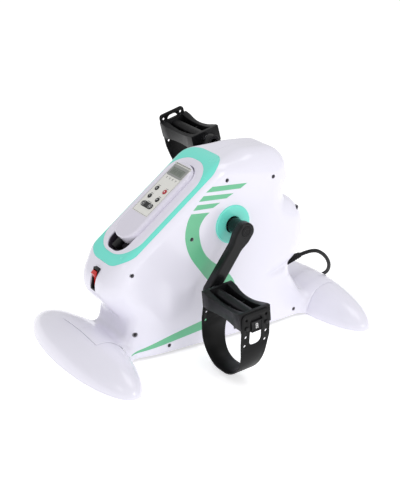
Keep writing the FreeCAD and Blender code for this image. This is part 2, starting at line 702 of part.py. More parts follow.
def motor_pieces():
    face_x = -PULLEY_HALF - 5.0
    plate_x = face_x - BRACKET_THICK
    body = rod_x(MOTOR_Y, MOTOR_Z, MOTOR_R, plate_x - MOTOR_LENGTH, plate_x)
    cap = rod_x(MOTOR_Y, MOTOR_Z, MOTOR_R - 8.0, plate_x - MOTOR_LENGTH - 2.5, plate_x - MOTOR_LENGTH)
    body = body.fuse(cap).cut(rod_x(MOTOR_Y, MOTOR_Z, MOTOR_SHAFT_R + RUN_GAP, -31.0, 0.0))
    outline = [(MOTOR_Y - MOTOR_R - 2.0, BASE_HIGH, 2.0), (MOTOR_Y + MOTOR_R + 2.0, BASE_HIGH, 2.0),
               (MOTOR_Y + MOTOR_R, MOTOR_Z + MOTOR_R, 20.0), (MOTOR_Y - MOTOR_R, MOTOR_Z + MOTOR_R, 20.0)]
    plate = prism_x(outline, plate_x, face_x)
    foot = box(plate_x, BASE_TUBE_HALF, MOTOR_Y - MOTOR_R, MOTOR_Y + MOTOR_R,
               BASE_HIGH, BASE_HIGH + BRACKET_THICK)
    bracket = plate.fuse(foot).cut(rod_x(MOTOR_Y, MOTOR_Z, MOTOR_SHAFT_R + 4.0, -40.0, 0.0))
    return {"motor": body, "motor_bracket": bracket}


def control_board():
    y0, y1 = 82.0, 150.0
    top = BASE_HIGH + 10.0
    board = box(-26.0, 26.0, y0, y1, top, top + 1.6)
    posts = []
    for x in (-15.0, 15.0):
        for y in (y0 + 6.0, y1 - 6.0):
            posts.append(Part.makeCylinder(3.0, top - BASE_HIGH, Vector(x, y, BASE_HIGH)))
    core = box(-18.0, 8.0, y0 + 10.0, y0 + 36.0, top + 1.6, top + 24.0)
    sink = box(12.0, 22.0, y0 + 8.0, y1 - 12.0, top + 1.6, top + 5.0)
    for i in range(5):
        fin_x = 12.0 + i * 2.1
        sink = sink.fuse(box(fin_x, fin_x + 1.0, y0 + 8.0, y1 - 12.0, top + 5.0, top + 20.0))
    return {"control_board": board, "board_posts": Part.makeCompound(posts),
            "transformer": core, "heat_sink": sink}


# ---------------------------------------------------------------- cranks
def crank_end(side):
    """Y, Z of a pedal axle; the left crank is opposite the right one."""
    angle = math.radians(CRANK_ANGLE + (0.0 if side > 0 else 180.0))
    return HUB_Y + CRANK_LENGTH * math.cos(angle), HUB_Z + CRANK_LENGTH * math.sin(angle)


def crank_arm(side):
    y, z = crank_end(side)
    along = Vector(0, y - HUB_Y, z - HUB_Z).normalize()
    across = Vector(0, -along.z, along.y)
    hub = Vector(0, HUB_Y, HUB_Z)
    tip = Vector(0, y, z)
    neck = hub + along * 24.0
    waist = 10.5
    edges = [
        Part.Arc(hub + across * CRANK_BIG_R, hub - along * CRANK_BIG_R, hub - across * CRANK_BIG_R).toShape(),
        Part.LineSegment(hub - across * CRANK_BIG_R, neck - across * waist).toShape(),
        Part.LineSegment(neck - across * waist, tip - across * CRANK_SMALL_R).toShape(),
        Part.Arc(tip - across * CRANK_SMALL_R, tip + along * CRANK_SMALL_R, tip + across * CRANK_SMALL_R).toShape(),
        Part.LineSegment(tip + across * CRANK_SMALL_R, neck + across * waist).toShape(),
        Part.LineSegment(neck + across * waist, hub + across * CRANK_BIG_R).toShape(),
    ]
    low, high = sorted((side * CRANK_IN, side * CRANK_OUT))
    face = Part.Face(Part.Wire(edges))
    face.translate(Vector(low, 0, 0))
    arm = face.extrude(Vector(high - low, 0, 0))
    boss = sorted((side * (CASE_HALF + HUB_DISC_PROUD + 1.0), side * CRANK_IN))
    arm = arm.fuse(rod_x(HUB_Y, HUB_Z, CRANK_BOSS_R, boss[0], boss[1]))
    outer = side * CRANK_OUT
    recess = sorted((outer - side * 2.0, outer))
    arm = arm.cut(rod_x(HUB_Y, HUB_Z, CAP_R, recess[0], recess[1]))
    channel_start = hub + along * 26.0
    channel_end = tip - along * 16.0
    half = 4.5
    groove = [channel_start + across * half, channel_end + across * half,
              channel_end - across * half, channel_start - across * half]
    wire = Part.makePolygon(groove + [groove[0]])
    channel = Part.Face(wire)
    channel.translate(Vector(recess[0], 0, 0))
    arm = arm.cut(channel.extrude(Vector(2.0, 0, 0)))
    arm = arm.cut(rod_x(HUB_Y, HUB_Z, SHAFT_R, -200.0, 200.0))
    return arm.cut(rod_x(y, z, AXLE_R, -200.0, 200.0))


def crankshaft():
    reach = CRANK_OUT - 5.0
    shaft = rod_x(HUB_Y, HUB_Z, SHAFT_R, -reach, reach)
    for side in (-1, 1):
        low, high = sorted((side * (CHEEK_X - 1.6), side * (CHEEK_X - 4.6)))
        shaft = shaft.fuse(rod_x(HUB_Y, HUB_Z, SHAFT_R + 2.0, low, high))
    return shaft


def crank_cap(side):
    low, high = sorted((side * (CRANK_OUT - 2.0), side * (CRANK_OUT + 0.8)))
    cap = rod_x(HUB_Y, HUB_Z, CAP_R - 0.05, low, high)
    inner, outer = sorted((side * (CRANK_OUT - 5.0), side * (CRANK_OUT - 2.0)))
    return cap.fuse(rod_x(HUB_Y, HUB_Z, SHAFT_R - 0.1, inner, outer))


def hub_cover(side):
    """Coloured disc round the crankshaft, clipped into the casing's side."""
    low, high = sorted((side * CASE_HALF, side * (CASE_HALF + HUB_DISC_PROUD)))
    disc = rod_x(HUB_Y, HUB_Z, HUB_DISC_R, low, high)
    rim = [e for e in disc.Edges if abs(abs(e.BoundBox.XMin) - CASE_HALF - HUB_DISC_PROUD) < 1e-3
           and e.BoundBox.XLength < 1e-3]
    disc = disc.makeFillet(2.0, rim)
    inner, outer = sorted((side * (CASE_HALF - 8.0), side * CASE_HALF))
    skirt = rod_x(HUB_Y, HUB_Z, HUB_DISC_R - 4.1, inner, outer)
    skirt = skirt.cut(rod_x(HUB_Y, HUB_Z, HUB_DISC_R - 6.5, inner, outer))
    return disc.fuse(skirt).cut(rod_x(HUB_Y, HUB_Z, CRANK_BOSS_R + 1.0, -80.0, 80.0))


# ---------------------------------------------------------------- pedals
def pedal_place(side):
    """From the right pedal's own frame (axle on X) to the machine, mirrored for the left pedal."""
    y, z = crank_end(side)
    tilt = PEDAL_TILT_RIGHT if side > 0 else PEDAL_TILT_LEFT
    return FreeCAD.Placement(Vector(0, y, z), FreeCAD.Rotation(Vector(1, 0, 0), tilt))


def set_pedal(shape, side):
    placed = shape if side > 0 else shape.mirror(Vector(0, 0, 0), Vector(1, 0, 0))
    placed = placed.copy()
    placed.Placement = pedal_place(side).multiply(placed.Placement)
    return placed


def pedal_body():
    """Block with a dipped top, a pocket in it and two end plates."""
    middle_low = PEDAL_IN + STRAP_THICK + SOFT_GAP
    middle_high = PEDAL_OUT - STRAP_THICK - SOFT_GAP
    body = box(middle_low, middle_high, -PEDAL_HALF, PEDAL_HALF, PEDAL_BOTTOM, PEDAL_TOP)
    span = (middle_high - middle_low) / 2 - PEDAL_PLATE
    radius = (span * span + PEDAL_WAIST * PEDAL_WAIST) / (2 * PEDAL_WAIST)
    centre_x = (middle_low + middle_high) / 2
    dip = Part.makeCylinder(radius, 200.0, Vector(centre_x, -100.0, PEDAL_TOP - PEDAL_WAIST + radius),
                            Vector(0, 1, 0))
    body = body.cut(dip)
    for sign in (-1, 1):
        scoop = Part.makeCylinder(radius, 200.0,
                                  Vector(centre_x, sign * (PEDAL_HALF - 4.0 + radius), -100.0))
        body = body.cut(scoop)
    pocket = box(middle_low + PEDAL_PLATE, middle_high - PEDAL_PLATE, -POCKET_HALF, POCKET_HALF,
                 PEDAL_BOTTOM + 4.0, 60.0)
    sleeve = rod_x(0.0, 0.0, AXLE_R + 3.5, middle_low, middle_high)
    rib_box = box(centre_x - 1.5, centre_x + 1.5, -POCKET_HALF, POCKET_HALF, PEDAL_BOTTOM, 2.0)
    body = body.cut(pocket)
    body = fuse_all([body, sleeve, rib_box])
    boss = box(middle_high, PEDAL_OUT + 1.2, -BOSS_HALF, BOSS_HALF, BOSS_LOW, BOSS_HIGH)
    plate = box(middle_high - PEDAL_PLATE, middle_high, -PEDAL_HALF + 3.0, PEDAL_HALF - 3.0,
                BOSS_LOW, PEDAL_BOTTOM + 1.0)
    inner_plate = box(middle_low, middle_low + PEDAL_PLATE, -PEDAL_HALF + 3.0, PEDAL_HALF - 3.0,
                      BOSS_LOW, PEDAL_BOTTOM + 1.0)
    inner_boss = box(PEDAL_IN - 1.2, middle_low, -BOSS_HALF, BOSS_HALF, BOSS_LOW, BOSS_HIGH - 6.5)
    body = fuse_all([body, boss, plate, inner_plate, inner_boss])
    mark = box(PEDAL_OUT, PEDAL_OUT + 5.0, -BOSS_HALF + 1.5, BOSS_HALF - 1.5, BOSS_LOW + 1.5, BOSS_HIGH - 1.5)
    body = body.cut(mark)
    body = body.cut(rod_x(0.0, 0.0, AXLE_R + RUN_GAP, 0.0, AXLE_OUT + 0.5))
    for x_face, sign in ((middle_high, 1), (middle_low, -1)):
        for y in (-PEG_Y, PEG_Y):
            low, high = sorted((x_face - sign * 3.0, x_face))
            body = body.cut(rod_x(y, PEG_Z, PEG_R, low, high))
    return body


def strap_pegs():
    """Four headed pegs that hold the strap's ends on the end plates."""
    pegs = []
    middle_low = PEDAL_IN + STRAP_THICK + SOFT_GAP
    middle_high = PEDAL_OUT - STRAP_THICK - SOFT_GAP
    for x_face, tip, sign in ((middle_high, PEDAL_OUT + 0.2, 1), (middle_low, PEDAL_IN - 0.2, -1)):
        for y in (-PEG_Y, PEG_Y):
            shank = sorted((x_face - sign * 3.0, tip))
            head = sorted((tip, tip + sign * 1.4))
            peg = rod_x(y, PEG_Z, PEG_R, shank[0], shank[1])
            pegs.append(peg.fuse(rod_x(y, PEG_Z, PEG_R + 1.2, head[0], head[1])))
    return Part.makeCompound(pegs)


def strap_band(raise_by):
    """Loop of flat band below the pedal; its outer end can be pegged higher by raise_by."""
    x_in = PEDAL_IN
    x_out = PEDAL_OUT
    top_out = STRAP_END_TOP + raise_by
    top_in = STRAP_INNER_TOP
    drop = STRAP_DROP - raise_by * 0.5
    outer = [(x_in, top_in, 0.5), (x_in + STRAP_THICK, top_in, 0.5)]
    inner_radius = STRAP_BEND_R - STRAP_THICK
    outer += [(x_in + STRAP_THICK, -drop + STRAP_THICK, inner_radius),
              (x_out - STRAP_THICK, -drop + STRAP_THICK, inner_radius),
              (x_out - STRAP_THICK, top_out, 0.5), (x_out, top_out, 0.5),
              (x_out, -drop, STRAP_BEND_R), (x_in, -drop, STRAP_BEND_R)]
    wire = rounded_wire(outer, lambda p: Vector(p.x, -60.0, p.y))
    band = Part.Face(wire).extrude(Vector(0, 120.0, 0))
    waist = STRAP_WAIST_HALF
    taper_top = BOSS_LOW - 14.0
    side_view = [(-STRAP_HALF, 60.0, 6.0), (-STRAP_HALF, taper_top, 20.0), (-waist, -drop + 8.0, 12.0),
                 (-waist, -drop - 20.0, 2.0), (waist, -drop - 20.0, 2.0), (waist, -drop + 8.0, 12.0),
                 (STRAP_HALF, taper_top, 20.0), (STRAP_HALF, 60.0, 6.0)]
    band = band.common(prism_x(side_view, x_in - 5.0, x_out + 5.0))
    middle_x = (x_in + x_out) / 2
    for sign, edge_x, top in ((1, x_out, top_out), (-1, x_in, top_in)):
        low, high = sorted((middle_x, edge_x + sign * 5.0))
        for corner_y in (-STRAP_HALF, STRAP_HALF):
            tip_low, tip_high = sorted((corner_y, corner_y - math.copysign(7.0, corner_y)))
            nib = box(low, high, tip_low, tip_high, top - 7.0, top + 2.0)
            nib = nib.cut(rod_x(corner_y - math.copysign(7.0, corner_y), top - 7.0, 7.0, low, high))
            band = band.cut(nib)
    window_top = top_out - WINDOW_MARGIN
    window_low = window_top - WINDOW_LENGTH
    window = prism_x([(-WINDOW_HALF, window_top, WINDOW_CORNER), (WINDOW_HALF, window_top, WINDOW_CORNER),
                      (WINDOW_HALF, window_low, WINDOW_CORNER), (-WINDOW_HALF, window_low, WINDOW_CORNER)],
                     middle_x, x_out + 5.0)
    band = band.cut(window)
    slot_low = BOSS_LOW - 0.5
    inner_slot = box(x_in - 5.0, middle_x, -WINDOW_HALF, WINDOW_HALF, slot_low, BOSS_HIGH - 6.0)
    band = band.cut(inner_slot)
    for step in range(-2, 3):
        hole_z = PEG_Z + step * STRAP_PITCH
        for y in (-PEG_Y, PEG_Y):
            if top_out - 6.0 > hole_z > window_low - 2.0:
                band = band.cut(rod_x(y, hole_z, PEG_R + 0.1, middle_x, x_out + 5.0))
            if top_in - 4.0 > hole_z > window_low - 2.0:
                band = band.cut(rod_x(y, hole_z, PEG_R + 0.1, x_in - 5.0, middle_x))
    return band


def pedal_axle(side):
    y, z = crank_end(side)
    low, high = sorted((side * CRANK_IN, side * AXLE_OUT))
    axle = rod_x(y, z, AXLE_R, low, high)
    collar = sorted((side * CRANK_OUT, side * (CRANK_OUT + 3.0)))
    return axle.fuse(rod_x(y, z, AXLE_R + 3.0, collar[0], collar[1]))


# ---------------------------------------------------------------- mains lead
def relief_axis():
    tip = Vector(*CORD_POINTS[0])
    return (tip - Vector(*RELIEF_ROOT)).normalize()


def strain_relief():
    root = Vector(*RELIEF_ROOT)
    axis = relief_axis()
    cone = Part.makeCone(RELIEF_ROOT_R, RELIEF_TIP_R, RELIEF_LENGTH, root, axis)
    flange = Part.makeCylinder(RELIEF_ROOT_R, 8.0, root - axis * 8.0, axis)
    relief = cone.fuse(flange)
    bore = Part.makeCylinder(CORD_R, 14.0, Vector(*CORD_POINTS[0]), axis)
    return relief.cut(bore)


def route_wire(points, note):
    """Straight runs joined by tangent arcs that are as large as the runs allow."""
    points = [Vector(*p) for p in points]
    edges = []
    here = points[0]
    radii = []
    for i in range(1, len(points) - 1):
        into = (points[i - 1] - points[i])
        out = (points[i + 1] - points[i])
        short = min(into.Length, out.Length)
        into.normalize()
        out.normalize()
        half_turn = (math.pi - into.getAngle(out)) / 2
        reach = 0.45 * short
        radius = reach / math.tan(half_turn)
        radii.append(round(radius, 1))
        start = points[i] + into * reach
        end = points[i] + out * reach
        bulge = radius / math.cos(half_turn) - radius
        middle = points[i] + (into + out).normalize() * bulge
        edges.append(Part.LineSegment(here, start).toShape())
        edges.append(Part.Arc(start, middle, end).toShape())
        here = end
    edges.append(Part.LineSegment(here, points[-1]).toShape())
    wire = Part.Wire(edges)
    print(note, "radii", radii, "length", round(wire.Length, 1))
    return wire


def mains_cord():
    wire = route_wire(CORD_POINTS, "mains cord")
    start = Vector(*CORD_POINTS[0])
    direction = (Vector(*CORD_POINTS[1]) - start).normalize()
    circle = Part.Wire(Part.makeCircle(CORD_R, start, direction))
    tube = wire.makePipeShell([circle], True, False)
    print("cord volume", round(tube.Volume, 1), "section x length", round(math.pi * CORD_R ** 2 * wire.Length, 1))
    return tube.cut(Part.makeCylinder(COIL_MID_R + CORD_R * COIL_COLUMNS, 100.0, Vector(COIL_X, COIL_Y, -10.0)))


def cord_coil():
    width = CORD_R * 2 * COIL_COLUMNS
    height = CORD_R * 2 * COIL_ROWS
    outer = Part.makeCylinder(COIL_MID_R + width / 2, height, Vector(COIL_X, COIL_Y, 0))
    ring = outer.cut(Part.makeCylinder(COIL_MID_R - width / 2, height, Vector(COIL_X, COIL_Y, 0)))
    print("coiled length", round(math.radians(COIL_SWEEP) * COIL_MID_R, 1))
    return ring


def mains_plug():
    """Flat two-pin plug resting on the coil, its pins facing -X."""
    base = CORD_R * 2 * COIL_ROWS
    rear = COIL_X + PLUG_REAR_X
    front = rear - PLUG_LENGTH
    middle = COIL_Y + PLUG_AXIS_Y
    body = prism_z([(front, middle - PLUG_HALF, PLUG_FRONT_CORNER), (rear, middle - PLUG_HALF, PLUG_REAR_CORNER),
                    (rear, middle + PLUG_HALF, PLUG_REAR_CORNER), (front, middle + PLUG_HALF, PLUG_FRONT_CORNER)],
                   base, base + PLUG_HEIGHT)
    pins = []
    for y in (middle - PIN_Y, middle + PIN_Y):
        pins.append(rod_x(y, base + PLUG_HEIGHT / 2, PIN_R, front - PIN_LENGTH, front))
    return body, Part.makeCompound(pins)


# ---------------------------------------------------------------- build
def build():
    nodes = {}
    nodes.update(casing_shells())
    nodes["casing_screws"] = casing_screws()
    nodes["console_surround"] = console_surround()
    nodes["handset_cradle"] = handset_cradle()
    nodes.update(handset_pieces())
    nodes.update(switch_pieces())
    for name, side in (("front", -1), ("rear", 1)):
        nodes[name + "_foot"] = foot_shell(side)
    nodes["base_frame"] = base_frame()
    nodes["foot_pads"] = foot_pads()
    nodes["drive_pulley"] = drive_pulley()
    nodes["motor_pulley"] = motor_pulley()
    nodes["drive_belt"] = drive_belt()
    nodes.update(motor_pieces())
    nodes.update(control_board())
    nodes["crankshaft"] = crankshaft()
    for name, side in (("right", 1), ("left", -1)):
        nodes["bearing_cheek_" + name] = bearing_cheek(side)
        nodes["bearing_" + name] = bearing(side)
        nodes["hub_cover_" + name] = hub_cover(side)
        nodes["crank_arm_" + name] = crank_arm(side)
        nodes["crank_cap_" + name] = crank_cap(side)
        nodes["pedal_axle_" + name] = pedal_axle(side)
        nodes["pedal_body_" + name] = set_pedal(pedal_body(), side)
        nodes["pedal_pegs_" + name] = set_pedal(strap_pegs(), side)
        nodes["pedal_strap_" + name] = set_pedal(strap_band(0.0 if side > 0 else STRAP_PITCH), side)
    nodes["strain_relief"] = strain_relief()
    nodes["mains_cord"] = mains_cord()
    nodes["cord_coil"] = cord_coil()
    nodes["plug_body"], nodes["plug_pins"] = mains_plug()
    return nodes


os.makedirs("parts", exist_ok=True)
for node, shape in build().items():
    print(node, "solids", len(shape.Solids), "valid", shape.isValid(), "volume", round(shape.Volume, 1))
    shape.exportStep("parts/" + node + ".step")
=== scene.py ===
"""Looks for a motorised pedal exerciser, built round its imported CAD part.

The machine stands on the floor: +X is its right side, -Y faces the user, +Z is up. Sizes in the
classes are millimetres, as on a drawing, and become metres when a mesh is made.
"""

import json
import logging
import math
from dataclasses import dataclass, field
from enum import Enum
from typing import Callable, Iterable, Sequence

import bmesh
import bpy
import numpy as np
from mathutils import Matrix, Vector


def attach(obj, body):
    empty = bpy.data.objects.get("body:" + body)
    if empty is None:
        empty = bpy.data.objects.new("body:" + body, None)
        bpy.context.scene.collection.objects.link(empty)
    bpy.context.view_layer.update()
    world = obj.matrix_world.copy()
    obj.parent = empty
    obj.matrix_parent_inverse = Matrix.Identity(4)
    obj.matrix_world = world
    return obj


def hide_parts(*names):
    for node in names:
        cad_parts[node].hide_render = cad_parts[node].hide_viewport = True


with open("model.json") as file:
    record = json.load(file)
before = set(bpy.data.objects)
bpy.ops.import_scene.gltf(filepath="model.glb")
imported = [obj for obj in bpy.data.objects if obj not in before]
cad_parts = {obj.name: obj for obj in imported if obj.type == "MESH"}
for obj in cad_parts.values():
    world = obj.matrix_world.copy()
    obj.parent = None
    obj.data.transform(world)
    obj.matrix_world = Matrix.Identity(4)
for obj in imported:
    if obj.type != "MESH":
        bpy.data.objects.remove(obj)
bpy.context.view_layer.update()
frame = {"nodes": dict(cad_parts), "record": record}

MM = 0.001
LOG = logging.getLogger("pedal_exerciser")

Point2 = tuple[float, float]
Point3 = tuple[float, float, float]
Colour = tuple[float, float, float, float]


class Cut(Enum):
    """How one solid changes another."""

    REMOVE = "DIFFERENCE"
    KEEP = "INTERSECT"
    ADD = "UNION"


class Side(Enum):
    """A side of the machine, with its sign along X."""

    RIGHT = 1
    LEFT = -1

    @property
    def word(self) -> str:
        """The side's name as the CAD nodes spell it."""
        return self.name.lower()


# ---------------------------------------------------------------- finishes
COAT_ROUGHNESS = 0.06


def from_srgb(red: int, green: int, blue: int) -> Colour:
    """Turns an everyday 0-255 colour into the linear one that shaders use.

    Args:
        red: Red part.
        green: Green part.
        blue: Blue part.

    Returns:
        The linear colour with full alpha.
    """
    parts = []
    for part in (red, green, blue):
        value = part / 255
        parts.append(value / 12.92 if value <= 0.04045 else ((value + 0.055) / 1.055) ** 2.4)
    return (*parts, 1.0)


def scaled(colour: Colour, factor: float) -> Colour:
    """Returns the colour made darker or lighter by a factor."""
    return (*(min(1.0, part * factor) for part in colour[:3]), 1.0)


@dataclass(frozen=True)
class Finish:
    """A surface finish: colour with slow variation, uneven gloss and a fine relief.

    Attributes:
        name: Name of the material.
        colour: Linear base colour.
        roughness: Middle roughness.
        gloss_spread: How far roughness wanders either way.
        tone_spread: How far the colour's brightness wanders, as a share.
        tone_scale: Patches of colour per metre.
        grain_scale: Grains of the relief per metre.
        grain_height: Height of the relief in millimetres.
        grain_stretch: How much longer the grain is along X, Y and Z.
        metallic: 1 for metal.
        coat: Weight of the clear top layer.
        shine: Strength of the plain reflection.
    """

    name: str
    colour: Colour
    roughness: float = 0.3
    gloss_spread: float = 0.05
    tone_spread: float = 0.05
    tone_scale: float = 9.0
    grain_scale: float = 900.0
    grain_height: float = 0.02
    grain_stretch: Point3 = (1.0, 1.0, 1.0)
    metallic: float = 0.0
    coat: float = 0.0
    shine: float = 0.5

    def material(self) -> bpy.types.Material:
        """Builds the material once and returns it."""
        found = bpy.data.materials.get(self.name)
        if found:
            return found
        made = bpy.data.materials.new(self.name)
        made.use_nodes = True
        tree = made.node_tree
        shader = tree.nodes["Principled BSDF"]
        settings = {"Metallic": self.metallic, "Specular IOR Level": self.shine,
                    "Coat Weight": self.coat, "Coat Roughness": COAT_ROUGHNESS}
        for socket, value in settings.items():
            shader.inputs[socket].default_value = value
        where = tree.nodes.new("ShaderNodeTexCoord")
        self._tone(tree, where, shader)
        self._gloss(tree, where, shader)
        self._grain(tree, where, shader)
        made.diffuse_color = self.colour
        return made

    def _noise(self, tree: bpy.types.NodeTree, where: bpy.types.Node, scale: float,
               detail: float) -> bpy.types.Node:
        """Adds a noise on Object coordinates.

        Args:
            tree: The material's nodes.
            where: The texture coordinate node.
            scale: Features per metre.
            detail: Octaves.

        Returns:
            The noise node.
        """
        noise = tree.nodes.new("ShaderNodeTexNoise")
        noise.inputs["Scale"].default_value = scale
        noise.inputs["Detail"].default_value = detail
        tree.links.new(where.outputs["Object"], noise.inputs["Vector"])
        return noise

    def _tone(self, tree: bpy.types.NodeTree, where: bpy.types.Node, shader: bpy.types.Node) -> None:
        """Lets the colour wander slowly between a darker and a lighter tone."""
        noise = self._noise(tree, where, self.tone_scale, 3.0)
        ramp = tree.nodes.new("ShaderNodeValToRGB")
        stops = ((0.3, 1 - self.tone_spread), (0.7, 1 + self.tone_spread))
        for stop, (position, tone) in zip(ramp.color_ramp.elements, stops):
            stop.position = position
            stop.color = scaled(self.colour, tone)
        tree.links.new(noise.outputs["Fac"], ramp.inputs["Fac"])
        tree.links.new(ramp.outputs["Color"], shader.inputs["Base Color"])

    def _gloss(self, tree: bpy.types.NodeTree, where: bpy.types.Node, shader: bpy.types.Node) -> None:
        """Makes the gloss a little uneven, as handling leaves it."""
        noise = self._noise(tree, where, self.tone_scale * 5, 4.0)
        spread = tree.nodes.new("ShaderNodeMapRange")
        spread.inputs["To Min"].default_value = max(0.02, self.roughness - self.gloss_spread)
        spread.inputs["To Max"].default_value = min(1.0, self.roughness + self.gloss_spread)
        tree.links.new(noise.outputs["Fac"], spread.inputs["Value"])
        tree.links.new(spread.outputs["Result"], shader.inputs["Roughness"])

    def _grain(self, tree: bpy.types.NodeTree, where: bpy.types.Node, shader: bpy.types.Node) -> None:
        """Adds the fine relief of the mould, the brush or the weave."""
        turn = tree.nodes.new("ShaderNodeMapping")
        turn.inputs["Scale"].default_value = tuple(1 / part for part in self.grain_stretch)
        tree.links.new(where.outputs["Object"], turn.inputs["Vector"])
        noise = self._noise(tree, where, self.grain_scale, 2.0)
        tree.links.new(turn.outputs["Vector"], noise.inputs["Vector"])
        bump = tree.nodes.new("ShaderNodeBump")
        bump.inputs["Strength"].default_value = 1.0
        bump.inputs["Distance"].default_value = self.grain_height * MM
        tree.links.new(noise.outputs["Fac"], bump.inputs["Height"])
        tree.links.new(bump.outputs["Normal"], shader.inputs["Normal"])


BRUSHED = (1.0, 12.0, 1.0)


class Finishes:
    """Every finish on the machine, by what it is."""

    WHITE = Finish("white_gloss", from_srgb(238, 236, 248), 0.2, 0.03, 0.012, 6.0, 420.0, 0.006,
                   coat=0.35)
    CRADLE = Finish("cradle_white_gloss", from_srgb(234, 231, 243), 0.2, 0.03, 0.015, 8.0, 420.0,
                    0.006, coat=0.4)
    HANDSET = Finish("handset_white_gloss", from_srgb(224, 220, 233), 0.17, 0.03, 0.02, 10.0, 420.0,
                     0.006, coat=0.5)
    MINT = Finish("mint_gloss", from_srgb(118, 233, 216), 0.26, 0.04, 0.02, 8.0, 500.0, 0.008,
                  coat=0.25)
    GREEN = Finish("green_print", from_srgb(112, 196, 152), 0.3, 0.05, 0.03, 22.0, 700.0, 0.004)
    BLACK = Finish("black_moulded", from_srgb(18, 18, 20), 0.38, 0.09, 0.2, 30.0, 1500.0, 0.03, shine=0.22)
    SATIN_BLACK = Finish("black_satin", from_srgb(16, 16, 18), 0.3, 0.07, 0.18, 26.0, 1100.0, 0.018,
                         coat=0.06, shine=0.25)
    STRAP = Finish("strap_vinyl", from_srgb(14, 14, 15), 0.44, 0.08, 0.22, 34.0, 1800.0, 0.05, shine=0.2)
    KEY_BLACK = Finish("key_black", from_srgb(34, 33, 36), 0.34, 0.06, 0.15, 60.0, 1600.0, 0.02)
    KEY_RED = Finish("key_crimson", from_srgb(176, 24, 44), 0.32, 0.06, 0.08, 60.0, 1600.0, 0.02)
    ROCKER = Finish("rocker_red", from_srgb(205, 34, 30), 0.2, 0.05, 0.06, 40.0, 900.0, 0.01, coat=0.4)
    LABEL = Finish("label_film", from_srgb(232, 231, 226), 0.42, 0.05, 0.02, 30.0, 1400.0, 0.012)
    INK = Finish("printed_ink", from_srgb(58, 60, 62), 0.5, 0.05, 0.1, 60.0, 1400.0, 0.004)
    WHITE_INK = Finish("white_ink", from_srgb(238, 238, 238), 0.45, 0.05, 0.03, 60.0, 1400.0, 0.004)
    BEZEL_GREY = Finish("display_frame", from_srgb(150, 152, 150), 0.34, 0.06, 0.05, 30.0, 1200.0, 0.01)
    LCD = Finish("display_glass", from_srgb(118, 126, 116), 0.1, 0.03, 0.06, 30.0, 300.0, 0.002,
                 coat=0.6)
    # Painted shade: the casing's lilac white darkened, standing in for the shade inside the screw holes.
    WELL_SHADE_GREY = Finish("well_painted_shade", from_srgb(150, 148, 154), 0.45, 0.08, 0.1, 40.0, 900.0, 0.02)
    # Painted shade: a dark lilac grey that stands in for the shade inside the handset's finger notch.
    NOTCH_SHADE = Finish("notch_painted_shade", from_srgb(62, 56, 66), 0.3, 0.07, 0.15, 30.0, 900.0, 0.015)
    STEEL = Finish("turned_steel", (0.5, 0.5, 0.52, 1), 0.28, 0.08, 0.08, 30.0, 2200.0, 0.01,
                   BRUSHED, 1.0)
    SCREW_STEEL = Finish("zinc_screws", (0.42, 0.42, 0.44, 1), 0.36, 0.1, 0.15, 60.0, 2600.0, 0.02,
                         (1, 1, 1), 1.0)
    PAINTED = Finish("painted_steel", from_srgb(42, 44, 47), 0.5, 0.1, 0.15, 20.0, 1300.0, 0.04)
    RUBBER = Finish("foot_rubber", from_srgb(30, 30, 31), 0.75, 0.08, 0.2, 40.0, 2200.0, 0.06)
    PULLEY = Finish("pulley_nylon", from_srgb(198, 196, 188), 0.42, 0.08, 0.05, 24.0, 1200.0, 0.03)
    BOARD = Finish("circuit_green", from_srgb(24, 92, 52), 0.35, 0.08, 0.2, 260.0, 1600.0, 0.03)
    ALUMINIUM = Finish("extruded_aluminium", (0.7, 0.71, 0.73, 1), 0.32, 0.08, 0.06, 30.0, 2600.0,
                       0.015, BRUSHED, 1.0)
    MOTOR = Finish("motor_can", (0.35, 0.35, 0.37, 1), 0.34, 0.1, 0.1, 26.0, 1700.0, 0.02, BRUSHED, 1.0)
    BRASS = Finish("nickel_brass", (0.72, 0.6, 0.36, 1), 0.24, 0.07, 0.1, 60.0, 2600.0, 0.01, BRUSHED,
                   1.0)
    CORD = Finish("cord_sheath", from_srgb(14, 14, 15), 0.5, 0.08, 0.2, 30.0, 1500.0, 0.03, shine=0.25)
    FLOOR = Finish("studio_floor", (0.93, 0.93, 0.935, 1), 0.7, 0.02, 0.004, 2.0, 60.0, 0.01)


# ---------------------------------------------------------------- outlines and meshes
def eased(share: np.ndarray | float) -> np.ndarray | float:
    """Turns an even share from 0 to 1 into one that starts and ends gently."""
    return share * share * (3 - 2 * share)


